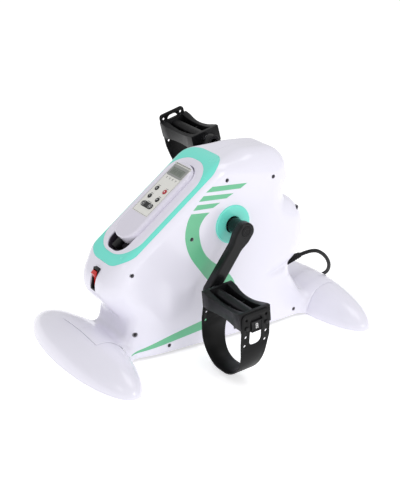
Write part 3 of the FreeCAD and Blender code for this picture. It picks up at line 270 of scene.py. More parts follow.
class Outline:
    """A closed outline of straight runs and tangent arcs, with its outward normals."""

    def __init__(self, corners: Sequence[Point3], arc_step: float = 6.0, run_step: float = 1e9) -> None:
        """Samples the outline.

        Args:
            corners: (a, b, radius) of each corner, in order.
            arc_step: Degrees between points on an arc.
            run_step: Most millimetres between points on a straight run.
        """
        area = 0.0
        count = len(corners)
        for i in range(count):
            here, after = corners[i], corners[(i + 1) % count]
            area += here[0] * after[1] - after[0] * here[1]
        turn = 1.0 if area > 0 else -1.0
        points: list[np.ndarray] = []
        normals: list[np.ndarray] = []
        for i in range(count):
            before, here, after = (np.array(corners[k % count][:2]) for k in (i - 1, i, i + 1))
            radius = corners[i][2]
            into = (before - here) / np.linalg.norm(before - here)
            out = (after - here) / np.linalg.norm(after - here)
            half = math.acos(max(-1.0, min(1.0, float(into @ out)))) / 2
            bisector = (into + out) / np.linalg.norm(into + out)
            centre = here + bisector * radius / math.sin(half)
            convex = (here - before)[0] * (after - here)[1] - (here - before)[1] * (after - here)[0]
            outward = 1.0 if convex * turn > 0 else -1.0
            start = here + into * radius / math.tan(half) - centre
            end = here + out * radius / math.tan(half) - centre
            first = math.atan2(start[1], start[0])
            sweep = (math.atan2(end[1], end[0]) - first + math.pi) % (2 * math.pi) - math.pi
            steps = max(2, math.ceil(abs(math.degrees(sweep)) / arc_step))
            for k in range(steps + 1):
                angle = first + sweep * k / steps
                ray = np.array([math.cos(angle), math.sin(angle)])
                points.append(centre + ray * radius)
                normals.append(ray * outward)
        self.points, self.normals = self._fill_runs(points, normals, run_step)

    @staticmethod
    def _fill_runs(points: list[np.ndarray], normals: list[np.ndarray],
                   run_step: float) -> tuple[np.ndarray, np.ndarray]:
        """Adds points along the straight runs so that none is longer than run_step."""
        out_points, out_normals = [], []
        for i, point in enumerate(points):
            after = points[(i + 1) % len(points)]
            out_points.append(point)
            out_normals.append(normals[i])
            gap = float(np.linalg.norm(after - point))
            same = float(normals[i] @ normals[(i + 1) % len(points)]) > 0.99999
            extra = math.ceil(gap / run_step) - 1 if same else 0
            for k in range(extra):
                out_points.append(point + (after - point) * (k + 1) / (extra + 1))
                out_normals.append(normals[i])
        return np.array(out_points), np.array(out_normals)

    def loop(self, inset: float) -> np.ndarray:
        """Returns the outline moved inwards by inset."""
        return self.points - self.normals * inset

    def distance(self, where: np.ndarray) -> np.ndarray:
        """Signed distance to the outline, negative inside.

        Args:
            where: Points, one row each.

        Returns:
            One distance per row.
        """
        best = np.full(len(where), np.inf)
        inside = np.zeros(len(where), bool)
        ends = np.roll(self.points, -1, 0)
        for a, b in zip(self.points, ends):
            run = b - a
            length = float(run @ run)
            if length < 1e-12:
                continue
            offset = where - a
            along = np.clip(offset @ run / length, 0, 1)
            gap = offset - along[:, None] * run
            best = np.minimum(best, gap[:, 0] ** 2 + gap[:, 1] ** 2)
            crosses = (a[1] > where[:, 1]) != (b[1] > where[:, 1])
            rise = run[1] if abs(run[1]) > 1e-12 else 1e-12
            inside ^= crosses & (where[:, 0] < run[0] * (where[:, 1] - a[1]) / rise + a[0])
        return np.where(inside, -1, 1) * np.sqrt(best)


@dataclass
class Shape:
    """Vertices and faces in millimetres, before they become a piece."""

    points: np.ndarray
    faces: list[tuple[int, ...]]

    def placed(self, place: Callable[[np.ndarray], np.ndarray]) -> "Shape":
        """Returns the shape with its points moved."""
        return Shape(place(self.points), self.faces)

    def mirrored(self) -> "Shape":
        """Returns the shape on the other side of the mid-plane, still facing outwards."""
        return Shape(self.points * np.array([-1.0, 1.0, 1.0]), [tuple(reversed(f)) for f in self.faces])

    def on(self, side: Side) -> "Shape":
        """Returns the shape on one side; it is drawn for the right."""
        return self if side is Side.RIGHT else self.mirrored()

    def joined(self, *others: "Shape") -> "Shape":
        """Returns this shape and the others as one."""
        points, faces = [self.points], list(self.faces)
        count = len(self.points)
        for other in others:
            faces += [tuple(i + count for i in f) for f in other.faces]
            points.append(other.points)
            count += len(other.points)
        return Shape(np.concatenate(points), faces)


def stacked(rings: Sequence[np.ndarray], capped: bool = True, closed_stack: bool = False) -> Shape:
    """Skins a stack of rings that all have the same number of points.

    Args:
        rings: The rings, each a closed loop of points.
        capped: Whether the first and last rings get a face.
        closed_stack: Whether the last ring joins the first.

    Returns:
        The skinned shape, with its faces outwards when the rings turn right-handed about the stack.
    """
    size = len(rings[0])
    faces: list[tuple[int, ...]] = []
    spans = len(rings) if closed_stack else len(rings) - 1
    for k in range(spans):
        low, high = k * size, ((k + 1) % len(rings)) * size
        for i in range(size):
            j = (i + 1) % size
            faces.append((low + i, low + j, high + j, high + i))
    if capped and not closed_stack:
        faces.append(tuple(reversed(range(size))))
        faces.append(tuple((len(rings) - 1) * size + i for i in range(size)))
    return Shape(np.concatenate(rings), faces)


def slab(outline: Outline, low: float, high: float, low_edge: float = 0.0, high_edge: float = 0.0,
         steps: int = 5) -> Shape:
    """Upright plate of an outline, with rounded edges.

    Args:
        outline: The plate's outline.
        low: Lower face.
        high: Upper face.
        low_edge: Radius of the lower edge.
        high_edge: Radius of the upper edge.
        steps: Rings round each edge.

    Returns:
        The closed plate, in (a, b, height).
    """
    profile: list[Point2] = []
    if low_edge > 0:
        profile.append((low_edge + 0.3, low))
        for k in range(steps + 1):
            angle = math.pi / 2 * k / steps
            profile.append((low_edge * (1 - math.sin(angle)), low + low_edge * (1 - math.cos(angle))))
    else:
        profile.append((0.0, low))
    if high_edge > 0:
        for k in range(steps + 1):
            angle = math.pi / 2 * k / steps
            profile.append((high_edge * (1 - math.cos(angle)), high - high_edge * (1 - math.sin(angle))))
        profile.append((high_edge + 0.3, high))
    else:
        profile.append((0.0, high))
    rings = []
    for inset, height in profile:
        loop = outline.loop(inset)
        rings.append(np.column_stack([loop, np.full(len(loop), height)]))
    return facing_out(stacked(rings))


def facing_out(shape: Shape) -> Shape:
    """Returns a closed shape with its faces turned outwards."""
    volume = 0.0
    for f in shape.faces:
        a = shape.points[f[0]]
        for i in range(1, len(f) - 1):
            volume += float(a @ np.cross(shape.points[f[i]], shape.points[f[i + 1]]))
    return shape if volume > 0 else Shape(shape.points, [tuple(reversed(f)) for f in shape.faces])


def turned(profile: Sequence[Point2], segments: int = 64, ring: bool = False) -> Shape:
    """Lathe work about the X axis.

    Args:
        profile: (x, radius) along the outside; a closed section when ring is set.
        segments: Faces round the axis.
        ring: Whether the section closes on itself, as a washer's does.

    Returns:
        The closed shape.
    """
    angles = np.linspace(0, 2 * math.pi, segments, endpoint=False)
    rings = [np.column_stack([np.full(segments, x), r * np.cos(angles), r * np.sin(angles)])
             for x, r in profile]
    return facing_out(stacked(rings, not ring, ring))


def upright(profile: Sequence[Point2], segments: int) -> Shape:
    """Lathe work about the Z axis, from (height, radius) along the outside."""
    lathe = turned(profile, segments)
    return facing_out(Shape(lathe.points[:, [1, 2, 0]], lathe.faces))


def rod(low: float, high: float, radius: float, segments: int = 28) -> Shape:
    """Round bar along X, used to cut with."""
    return turned([(low, radius), (high, radius)], segments)


def moved(offset: Point3) -> Callable[[np.ndarray], np.ndarray]:
    """Returns a function that shifts points."""
    return lambda points: points + np.array(offset)


def through(matrix: Matrix) -> Callable[[np.ndarray], np.ndarray]:
    """Returns a function that carries points by a matrix in millimetres."""
    table = np.array(matrix)
    return lambda points: points @ table[:3, :3].T + table[:3, 3]


def box_shape(low: Point3, high: Point3) -> Shape:
    """Plain block, used only to cut with."""
    corners = [(x, y, z) for z in (low[2], high[2]) for y in (low[1], high[1]) for x in (low[0], high[0])]
    faces = [(0, 2, 3, 1), (4, 5, 7, 6), (0, 1, 5, 4), (2, 6, 7, 3), (0, 4, 6, 2), (1, 3, 7, 5)]
    return facing_out(Shape(np.array(corners, float), faces))


def smooth_line(points: Sequence[Sequence[float]], count: int) -> np.ndarray:
    """Even points along a smooth curve that passes through the given ones.

    Args:
        points: Points of the curve.
        count: How many points to return.

    Returns:
        The curve's points, evenly spaced.
    """
    knots = np.array(points, float)
    padded = np.vstack([2 * knots[0] - knots[1], knots, 2 * knots[-1] - knots[-2]])
    fine = []
    for i in range(len(knots) - 1):
        p0, p1, p2, p3 = padded[i:i + 4]
        for t in np.linspace(0, 1, 24, endpoint=False):
            fine.append(0.5 * (2 * p1 + (p2 - p0) * t + (2 * p0 - 5 * p1 + 4 * p2 - p3) * t ** 2
                               + (3 * p1 - p0 - 3 * p2 + p3) * t ** 3))
    fine.append(knots[-1])
    line = np.array(fine)
    along = np.concatenate([[0], np.cumsum(np.linalg.norm(np.diff(line, axis=0), axis=1))])
    at = np.linspace(0, along[-1], count)
    return np.column_stack([np.interp(at, along, line[:, k]) for k in range(line.shape[1])])


def mesh_from(shape: Shape, name: str) -> bpy.types.Mesh:
    """Turns a shape into a mesh in metres."""
    mesh = bpy.data.meshes.new(name)
    mesh.from_pydata((shape.points * MM).tolist(), [], shape.faces)
    mesh.validate()
    return mesh


def in_scene(name: str, data: bpy.types.ID) -> bpy.types.Object:
    """Puts a mesh, curve, camera or light in the scene as an object."""
    made = bpy.data.objects.new(name, data)
    bpy.context.scene.collection.objects.link(made)
    return made


def solid(shape: Shape, name: str = "tool") -> bpy.types.Object:
    """Puts a shape in the scene as an object with no finish yet."""
    return in_scene(name, mesh_from(shape, name))


def bake_modifiers(made: bpy.types.Object) -> None:
    """Turns an object's modifiers into its plain mesh and removes them."""
    evaluated = made.evaluated_get(bpy.context.evaluated_depsgraph_get())
    mesh = bpy.data.meshes.new_from_object(evaluated)
    made.modifiers.clear()
    old = made.data
    made.data = mesh
    bpy.data.meshes.remove(old)


def discard(made: bpy.types.Object) -> None:
    """Removes an object and its mesh."""
    mesh = made.data
    bpy.data.objects.remove(made)
    bpy.data.meshes.remove(mesh)


def carve(target: bpy.types.Object, shape: Shape | bpy.types.Object, how: Cut = Cut.REMOVE) -> None:
    """Changes a closed solid by another one.

    Args:
        target: The solid that changes.
        shape: The other solid; a shape is used up, an object is kept.
        how: What is done with it.
    """
    tool = solid(shape) if isinstance(shape, Shape) else shape
    cut = target.modifiers.new("cut", "BOOLEAN")
    cut.operation = how.value
    cut.solver = "MANIFOLD"
    cut.object = tool
    bake_modifiers(target)
    if isinstance(shape, Shape):
        discard(tool)


def copy_of(made: bpy.types.Object, name: str) -> bpy.types.Object:
    """Returns a second object with its own copy of the mesh."""
    return in_scene(name, made.data.copy())


def dress(made: bpy.types.Object, finish: Finish, body: str, replaces: Iterable[str] = (),
          crease: float = 35.0) -> bpy.types.Object:
    """Finishes a piece: smooth shading, material, body, slot and the nodes that it stands for.

    Args:
        made: The piece.
        finish: Its finish.
        body: The CAD body that it rides on.
        replaces: CAD nodes that it stands for.
        crease: Edges sharper than this many degrees stay crisp.

    Returns:
        The piece.
    """
    mesh = made.data
    mesh.materials.clear()
    mesh.materials.append(finish.material())
    mesh.polygons.foreach_set("use_smooth", np.ones(len(mesh.polygons), bool))
    mesh.set_sharp_from_angle(angle=math.radians(crease))
    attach(made, body)
    names = list(replaces)
    if names:
        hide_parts(*names)
    LOG.info("%s rides on %s, %d faces", made.name, body, len(mesh.polygons))
    return made


def piece(name: str, shape: Shape, finish: Finish, body: str, replaces: Iterable[str] = (),
          crease: float = 35.0) -> bpy.types.Object:
    """Makes and finishes a piece straight from a shape."""
    return dress(solid(shape, name), finish, body, replaces, crease)


def softened(node: str, name: str, bevel: float, finish: Finish, body: str,
             crease: float = 28.0,
             place: Callable[[np.ndarray], np.ndarray] | None = None) -> bpy.types.Object:
    """Makes a piece from a CAD node's own shape, with its edges eased.

    Args:
        node: The CAD node, which the piece stands for.
        name: Name of the piece.
        bevel: Width of the eased edges in millimetres.
        finish: Its finish.
        body: The body that it rides on.
        crease: Edges flatter than this many degrees are smooth already.
        place: Where the node's points go, in millimetres, if they don't stay.

    Returns:
        The piece.
    """
    work = bmesh.new()
    work.from_mesh(frame["nodes"][node].data)
    bmesh.ops.remove_doubles(work, verts=work.verts, dist=0.002 * MM)
    bmesh.ops.dissolve_degenerate(work, edges=work.edges, dist=0.001 * MM)
    bmesh.ops.dissolve_limit(work, angle_limit=math.radians(0.6), verts=work.verts, edges=work.edges)
    if place:
        at = place(np.array([vertex.co for vertex in work.verts]) / MM) * MM
        for vertex, point in zip(work.verts, at):
            vertex.co = point
    mesh = bpy.data.meshes.new(name)
    work.to_mesh(mesh)
    work.free()
    made = in_scene(name, mesh)
    ease = made.modifiers.new("ease", "BEVEL")
    ease.width = bevel * MM
    ease.segments = 2
    ease.limit_method = "ANGLE"
    ease.angle_limit = math.radians(crease)
    ease.use_clamp_overlap = True
    ease.harden_normals = False
    bake_modifiers(made)
    return dress(made, finish, body, [node], 40.0)


# ---------------------------------------------------------------- geometry nodes
class Grower:
    """A Geometry Nodes tree that grows a repeated piece, with named inputs for its sizes."""

    def __init__(self, name: str, finish: Finish) -> None:
        """Starts the tree.

        Args:
            name: Name of the tree.
            finish: Finish of what it grows.
        """
        self.tree = bpy.data.node_groups.new(name, "GeometryNodeTree")
        self.finish = finish
        self.values: dict[str, object] = {}
        self.sockets: dict[str, bpy.types.NodeSocket] = {}
        self.identifiers: dict[str, str] = {}
        self.tree.interface.new_socket("Geometry", in_out="INPUT", socket_type="NodeSocketGeometry")
        self.tree.interface.new_socket("Geometry", in_out="OUTPUT", socket_type="NodeSocketGeometry")
        self.inside = self.tree.nodes.new("NodeGroupInput")
        self.outside = self.tree.nodes.new("NodeGroupOutput")

    def size(self, name: str, value: float | int, kind: str = "NodeSocketFloat") -> bpy.types.NodeSocket:
        """Adds a named input and returns its socket inside the tree."""
        item = self.tree.interface.new_socket(name, in_out="INPUT", socket_type=kind)
        self.identifiers[name] = item.identifier
        self.values[name] = value
        return next(s for s in self.inside.outputs if s.identifier == item.identifier)

    def node(self, kind: str, settings: dict[str, object] | None = None,
             **links: object) -> bpy.types.Node:
        """Adds a node.

        Args:
            kind: The node's type.
            settings: Attributes of the node to set.
            links: Input names, with spaces as underscores, and a socket or a value for each.

        Returns:
            The node.
        """
        made = self.tree.nodes.new(kind)
        for key, value in (settings or {}).items():
            setattr(made, key, value)
        for key, value in links.items():
            self._feed(made.inputs[key.replace("_", " ")], value)
        return made

    def _feed(self, socket: bpy.types.NodeSocket, value: object) -> None:
        """Links an input to another socket, or sets it to a plain value."""
        if isinstance(value, bpy.types.NodeSocket):
            self.tree.links.new(value, socket)
        else:
            socket.default_value = value

    def maths(self, operation: str, first: object, second: object) -> bpy.types.NodeSocket:
        """Works on two inputs, each a socket or a number, and returns the result."""
        made = self.node("ShaderNodeMath", {"operation": operation})
        self._feed(made.inputs[0], first)
        self._feed(made.inputs[1], second)
        return made.outputs[0]

    def joined(self, *parts: bpy.types.NodeSocket) -> bpy.types.NodeSocket:
        """Returns the union of solids."""
        made = self.node("GeometryNodeMeshBoolean", {"operation": "UNION"})
        for part in parts:
            self.tree.links.new(part, made.inputs["Mesh 2"])
        return made.outputs[0]

    def less(self, whole: bpy.types.NodeSocket, *parts: bpy.types.NodeSocket) -> bpy.types.NodeSocket:
        """Returns a solid with others taken from it."""
        made = self.node("GeometryNodeMeshBoolean", {"operation": "DIFFERENCE"})
        self.tree.links.new(whole, made.inputs["Mesh 1"])
        for part in parts:
            self.tree.links.new(part, made.inputs["Mesh 2"])
        return made.outputs[0]

    def shifted(self, geometry: bpy.types.NodeSocket, **how: object) -> bpy.types.NodeSocket:
        """Returns geometry moved, turned or scaled."""
        return self.node("GeometryNodeTransform", None, Geometry=geometry, **how).outputs[0]

    def lengthways(self, geometry: bpy.types.NodeSocket) -> bpy.types.NodeSocket:
        """Turns upright geometry so that its axis lies along X."""
        return self.shifted(geometry, Rotation=(0.0, math.pi / 2, 0.0))

    def finish_at_points(self, shape: bpy.types.NodeSocket) -> None:
        """Ends the tree with the shape at every point that it is given."""
        placed = self.node("GeometryNodeInstanceOnPoints", None, Points=self.inside.outputs[0],
                           Instance=shape)
        self.finish_with(placed.outputs[0])

    def finish_with(self, geometry: bpy.types.NodeSocket) -> None:
        """Ends the tree: instances made real, and the finish set."""
        real = self.node("GeometryNodeRealizeInstances", None, Geometry=geometry)
        paint = self.node("GeometryNodeSetMaterial", None, Geometry=real.outputs[0])
        paint.inputs["Material"].default_value = self.finish.material()
        self.tree.links.new(paint.outputs[0], self.outside.inputs[0])

    def grow(self, name: str, seeds: Sequence[Sequence[float]]) -> bpy.types.Object:
        """Runs the tree on points and returns the plain mesh it makes.

        Args:
            name: Name of the piece.
            seeds: Points in millimetres that the tree starts from.

        Returns:
            The piece, not yet dressed.
        """
        start = solid(Shape(np.array(seeds, float).reshape(-1, 3), []), name)
        run = start.modifiers.new("grow", "NODES")
        run.node_group = self.tree
        for key, value in self.values.items():
            run[self.identifiers[key]] = value
        bake_modifiers(start)
        return start


def screw_grower(name: str) -> Grower:
    """Tree that puts a pan-head screw, with its axis on X, at every point it is given."""
    grower = Grower(name, Finishes.SCREW_STEEL)
    head = grower.size("Head radius", 3.1 * MM)
    height = grower.size("Head height", 2.6 * MM)
    slot = grower.size("Slot width", 0.9 * MM)
    reach = grower.size("Slot length", 4.2 * MM)
    pan = grower.node("GeometryNodeMeshCylinder", None, Vertices=24, Side_Segments=1, Radius=head,
                      Depth=height)
    crown = grower.node("GeometryNodeMeshUVSphere", None, Segments=24, Rings=12, Radius=head)
    flat = grower.shifted(crown.outputs[0], Scale=(1.0, 1.0, 0.42))
    lift = grower.node("ShaderNodeCombineXYZ", None, Z=grower.maths("MULTIPLY", height, 0.5))
    whole = grower.joined(pan.outputs[0], grower.shifted(flat, Translation=lift.outputs[0]))
    bars = []
    for along, across in ((reach, slot), (slot, reach)):
        size = grower.node("ShaderNodeCombineXYZ", None, X=along, Y=across, Z=4.0 * MM)
        bar = grower.node("GeometryNodeMeshCube", None, Size=size.outputs[0])
        bars.append(grower.shifted(bar.outputs[0], Translation=(0.0, 0.0, 3.6 * MM)))
    grower.finish_at_points(grower.lengthways(grower.less(whole, *bars)))
    return grower


def well_grower(name: str, finish: Finish, axis_on_x: bool = True) -> Grower:
    """Tree that puts a short open sleeve at every point: a moulded screw well or a rubber ring."""
    grower = Grower(name, finish)
    outer = grower.size("Outer radius", 4.6 * MM)
    inner = grower.size("Inner radius", 3.4 * MM)
    depth = grower.size("Depth", 12.0 * MM)
    sides = grower.size("Sides", 28, "NodeSocketInt")
    wall, bore = (grower.node("GeometryNodeMeshCylinder", None, Vertices=sides, Side_Segments=1,
                              Radius=radius, Depth=length).outputs[0]
                  for radius, length in ((outer, depth), (inner, grower.maths("MULTIPLY", depth, 1.5))))
    sleeve = grower.less(wall, bore)
    grower.finish_at_points(grower.lengthways(sleeve) if axis_on_x else sleeve)
    return grower


def dome_grower(name: str, finish: Finish) -> Grower:
    """Tree that shapes a foot's dome: half an ellipsoid lying across the machine."""
    grower = Grower(name, finish)
    length = grower.size("Half length", 168.0 * MM)
    depth = grower.size("Half depth", 51.0 * MM)
    height = grower.size("Height", 52.0 * MM)
    lift = grower.size("Lift", 2.0 * MM)
    ball = grower.node("GeometryNodeMeshUVSphere", None, Segments=112, Rings=96, Radius=1.0)
    sizes = grower.node("ShaderNodeCombineXYZ", None, X=length, Y=depth, Z=height)
    egg = grower.shifted(grower.lengthways(ball.outputs[0]), Scale=sizes.outputs[0])
    place = grower.node("GeometryNodeInputPosition")
    split = grower.node("ShaderNodeSeparateXYZ", None, Vector=place.outputs[0])
    level = grower.maths("ADD", grower.maths("MAXIMUM", split.outputs["Z"], 0.0), lift)
    goal = grower.node("ShaderNodeCombineXYZ", None, X=split.outputs["X"], Y=split.outputs["Y"],
                       Z=level)
    flat = grower.node("GeometryNodeSetPosition", None, Geometry=egg, Position=goal.outputs[0])
    grower.finish_at_points(flat.outputs[0])
    return grower


def rib_grower(name: str, finish: Finish, rise: float) -> Grower:
    """Tree that puts rounded rings, smaller and smaller, at points of an axis that climbs along Y.

    Args:
        name: Name of the tree.
        finish: Finish of the rings.
        rise: How steeply the axis climbs, in degrees.

    Returns:
        The tree.
    """
    grower = Grower(name, finish)
    radius = grower.size("First radius", 7.6 * MM)
    shrink = grower.size("Shrink per rib", 0.45 * MM)
    thick = grower.size("Rib radius", 0.9 * MM)
    ring = grower.node("GeometryNodeCurvePrimitiveCircle", None, Resolution=36, Radius=1.0)
    index = grower.node("GeometryNodeInputIndex")
    size = grower.maths("SUBTRACT", radius, grower.maths("MULTIPLY", index.outputs[0], shrink))
    scale = grower.node("ShaderNodeCombineXYZ", None, X=size, Y=size, Z=size)
    placed = grower.node("GeometryNodeInstanceOnPoints", None, Points=grower.inside.outputs[0],
                         Instance=ring.outputs[0], Scale=scale.outputs[0],
                         Rotation=(math.radians(90.0 - rise), 0.0, 0.0))
    real = grower.node("GeometryNodeRealizeInstances", None, Geometry=placed.outputs[0])
    section = grower.node("GeometryNodeCurvePrimitiveCircle", None, Resolution=10, Radius=thick)
    swept = grower.node("GeometryNodeCurveToMesh", None, Curve=real.outputs[0],
                        Profile_Curve=section.outputs[0])
    grower.finish_with(swept.outputs[0])
    return grower


# ---------------------------------------------------------------- studio
@dataclass
class Studio:
    """Floor, soft lights and the camera."""

    eye: Point3 = (1.5545, -1.0133, 0.9047)
    right: Point3 = (0.5402, 0.8415, 0.0103)
    up: Point3 = (-0.3248, 0.1971, 0.9250)
    lens: float = 84.96
    floor_half: float = 9.0
    floor_glow: float = 0.5
    key: float = 9.0
    fill: float = 2.6
    top: float = 8.5
    world: float = 0.62

    def build(self) -> None:
        """Makes the camera, the floor and the lights."""
        scene = bpy.context.scene
        scene.view_settings.view_transform = "Standard"
        right, up = Vector(self.right).normalized(), Vector(self.up).normalized()
        back = right.cross(up).normalized()
        turn = Matrix((right, up, back)).transposed().to_4x4()
        data = bpy.data.cameras.new("camera")
        data.lens = self.lens
        data.sensor_width = 36.0
        data.sensor_fit = "AUTO"
        data.clip_start = 0.01
        camera = in_scene("camera", data)
        camera.matrix_world = Matrix.Translation(self.eye) @ turn
        scene.camera = camera
        half = self.floor_half / MM
        ground = solid(Shape(np.array([(-half, -half, 0), (half, -half, 0), (half, half, 0),
                                       (-half, half, 0)], float), [(0, 1, 2, 3)]), "floor")
        paper = Finishes.FLOOR.material()
        shader = paper.node_tree.nodes["Principled BSDF"]
        shader.inputs["Emission Color"].default_value = (1.0, 1.0, 1.0, 1.0)
        shader.inputs["Emission Strength"].default_value = self.floor_glow
        ground.data.materials.append(paper)
        world = bpy.data.worlds.new("studio")
        world.use_nodes = True
        background = world.node_tree.nodes["Background"]
        background.inputs["Color"].default_value = (1.0, 1.0, 1.0, 1.0)
        path = world.node_tree.nodes.new("ShaderNodeLightPath")
        level = world.node_tree.nodes.new("ShaderNodeMapRange")
        level.inputs["To Min"].default_value = self.world
        level.inputs["To Max"].default_value = 1.0
        world.node_tree.links.new(path.outputs["Is Camera Ray"], level.inputs["Value"])
        world.node_tree.links.new(level.outputs["Result"], background.inputs["Strength"])
        scene.world = world
        self._light("key", (2.3, 0.5, 1.1), 0.7, self.key)
        self._light("fill", (0.6, -2.2, 1.3), 0.8, self.fill)
        self._light("top", (0.3, 0.5, 2.1), 1.2, self.top)

    @staticmethod
    def _light(name: str, place: Point3, size: float, power: float) -> None:
        """Adds a square soft light that looks at the machine's middle."""
        data = bpy.data.lights.new(name, "AREA")
        data.size = size
        data.energy = power
        lamp = in_scene(name, data)
        lamp.location = place
        aim = Vector((0.0, 0.0, 0.15)) - Vector(place)
        lamp.rotation_euler = aim.to_track_quat("-Z", "Y").to_euler()


# ---------------------------------------------------------------- mains lead
@dataclass
class MainsLead:
    """The lead: out of its ribbed relief, down behind the rear foot and round into a neat coil."""

    radius: float = 3.5
    route: tuple[Point3, ...] = (
        (0.0, 209.4, 89.4), (0.0, 238.0, 94.4), (-3.0, 267.0, 78.0), (-12.0, 290.0, 50.0),
        (-34.0, 302.0, 20.0), (-64.0, 297.0, 3.6), (-100.0, 281.0, 3.6), (-136.0, 263.0, 3.6),
        (-170.0, 253.0, 3.6), (-203.5, 239.4, 3.6))
    centre: Point2 = (-215.0, 275.0)
    columns: Point2 = (34.5, 41.5)
    rows: Point3 = (3.6, 10.6, 17.6)
    entry: float = -72.0
    sweep: float = 1809.0
    per_turn: int = 16
    ramp: float = 25.0
    rise: float = 110.0
    relief_root: Point3 = (0.0, 170.0, 82.5)
    relief_rise: float = 10.0
    plug_rear: float = 5.0
    plug_axis: float = -32.0
    plug_length: float = 34.0
    plug_half: float = 17.7
    plug_height: float = 14.0

    def _slot(self, swept: float) -> Point2:
        """Radius and height of the lead after it has wound round by so many degrees."""
        inner, outer = self.columns
        low, middle, high = self.rows
        slots = [(outer, low), (inner, low), (inner, middle), (outer, middle), (outer, high),
                 (inner, high)]
        step = 360.0 - self.ramp
        k = min(int(swept // step), len(slots) - 1)
        into = swept - k * step
        if k == 0 or into >= self.ramp:
            return slots[k]
        share = eased(into / self.ramp)
        before, here = slots[k - 1], slots[k]
        return (before[0] + (here[0] - before[0]) * share, before[1] + (here[1] - before[1]) * share)

    def coil(self) -> list[Point3]:
        """Control points of the coil's turns and of the last run up into the plug."""
        shrink = 0.75 + 0.25 * math.cos(2 * math.pi / self.per_turn)
        step = 360.0 / self.per_turn
        points = []
        plug_middle = self.rows[2] + self.radius + self.plug_height / 2
        swept = step
        while swept < self.sweep - step:
            radius, height = self._slot(swept)
            left = self.sweep - swept
            if left < self.rise:
                height += (plug_middle - height) * eased(1 - left / self.rise)
            angle = math.radians(self.entry - swept)
            points.append((self.centre[0] + radius / shrink * math.cos(angle),
                           self.centre[1] + radius / shrink * math.sin(angle), height))
            swept += step
        rear = self.centre[0] + self.plug_rear
        axis = self.centre[1] + self.plug_axis
        points.append((rear + 9.0, axis + 0.3, plug_middle))
        points.append((rear - 2.0, axis, plug_middle))
        return points

    def build(self) -> None:
        points = [tuple(c * MM for c in p) for p in (*self.route, *self.coil())]
        data = bpy.data.curves.new("mains_lead", "CURVE")
        data.dimensions = "3D"
        data.bevel_depth = self.radius * MM
        data.bevel_resolution = 5
        data.use_fill_caps = True
        line = data.splines.new("NURBS")
        line.points.add(len(points) - 1)
        for knot, place in zip(line.points, points):
            knot.co = (*place, 1.0)
        line.order_u = 3
        line.use_endpoint_u = True
        line.resolution_u = 6
        lead = in_scene("mains_lead", data)
        data.materials.append(Finishes.CORD.material())
        length = self._measure(data)
        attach(lead, "base")
        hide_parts("mains_cord", "cord_coil")
        relief = self._relief()
        ribs = self._ribs()
        plug = self._plug()
        LOG.info("mains lead: %.3f m", length)

    @staticmethod
    def _measure(data: bpy.types.Curve) -> float:
        """Length of the lead's own line in metres."""
        bare = bpy.data.objects.new("bare", data.copy())
        bare.data.bevel_depth = 0.0
        mesh = bpy.data.meshes.new_from_object(bare)
        line = np.array([v.co for v in mesh.vertices])
        bpy.data.meshes.remove(mesh)
        bpy.data.curves.remove(bare.data)
        return float(np.linalg.norm(np.diff(line, axis=0), axis=1).sum())

    def axis_frame(self) -> Matrix:
        """Frame with X along the relief's axis and its origin at the root."""
        root, tip = Vector(self.relief_root), Vector(self.route[0])
        along = (tip - root).normalized()
        side = Vector((1.0, 0.0, 0.0))
        up = along.cross(side).normalized()
        turn = Matrix((along, up, along.cross(up))).transposed().to_4x4()
        return Matrix.Translation(root) @ turn

    def _relief(self) -> bpy.types.Object:
        """Tapered sleeve that keeps the lead from kinking."""
        profile = [(-8.0, 4.2), (-8.0, 7.2), (-7.7, 7.5), (0.0, 7.5), (2.0, 7.1), (4.0, 6.6)]
        profile += [(6.0 + 30.0 * k / 6, 6.5 - 1.5 * k / 6) for k in range(7)]
        profile += [(39.0, 4.9), (40.0, 4.4), (40.0, 3.4)]
        shape = turned(profile, 40).placed(through(self.axis_frame()))
        return piece("lead_relief", shape, Finishes.BLACK, "base", ["strain_relief"])

    def _ribs(self) -> bpy.types.Object:
        """Rings moulded round the relief."""
        root, tip = Vector(self.relief_root), Vector(self.route[0])
        along = (tip - root).normalized()
        seeds = [root + along * (7.0 + 4.6 * k) for k in range(7)]
        ribs = rib_grower("relief_ribs", Finishes.BLACK, self.relief_rise).grow("lead_relief_ribs", seeds)
        return dress(ribs, Finishes.BLACK, "base")

    def _plug(self) -> bpy.types.Object:
        """Flat two-pin plug with a waisted grip."""
        rear = self.centre[0] + self.plug_rear
        middle = self.centre[1] + self.plug_axis
        front = rear - self.plug_length
        half = self.plug_half
        low = self.rows[2] + self.radius
        outline = Outline([(front, middle - half, 4.0), (front + 13.0, middle - half, 12.0),
                           (rear - 9.0, middle - 9.0, 14.0), (rear, middle - 8.0, 4.0),
                           (rear, middle + 8.0, 4.0), (rear - 9.0, middle + 9.0, 14.0),
                           (front + 13.0, middle + half, 12.0), (front, middle + half, 4.0)], 10.0)
        return piece("plug_grip", slab(outline, low, low + self.plug_height, 3.0, 3.0), Finishes.BLACK,
                     "base", ["plug_body"])


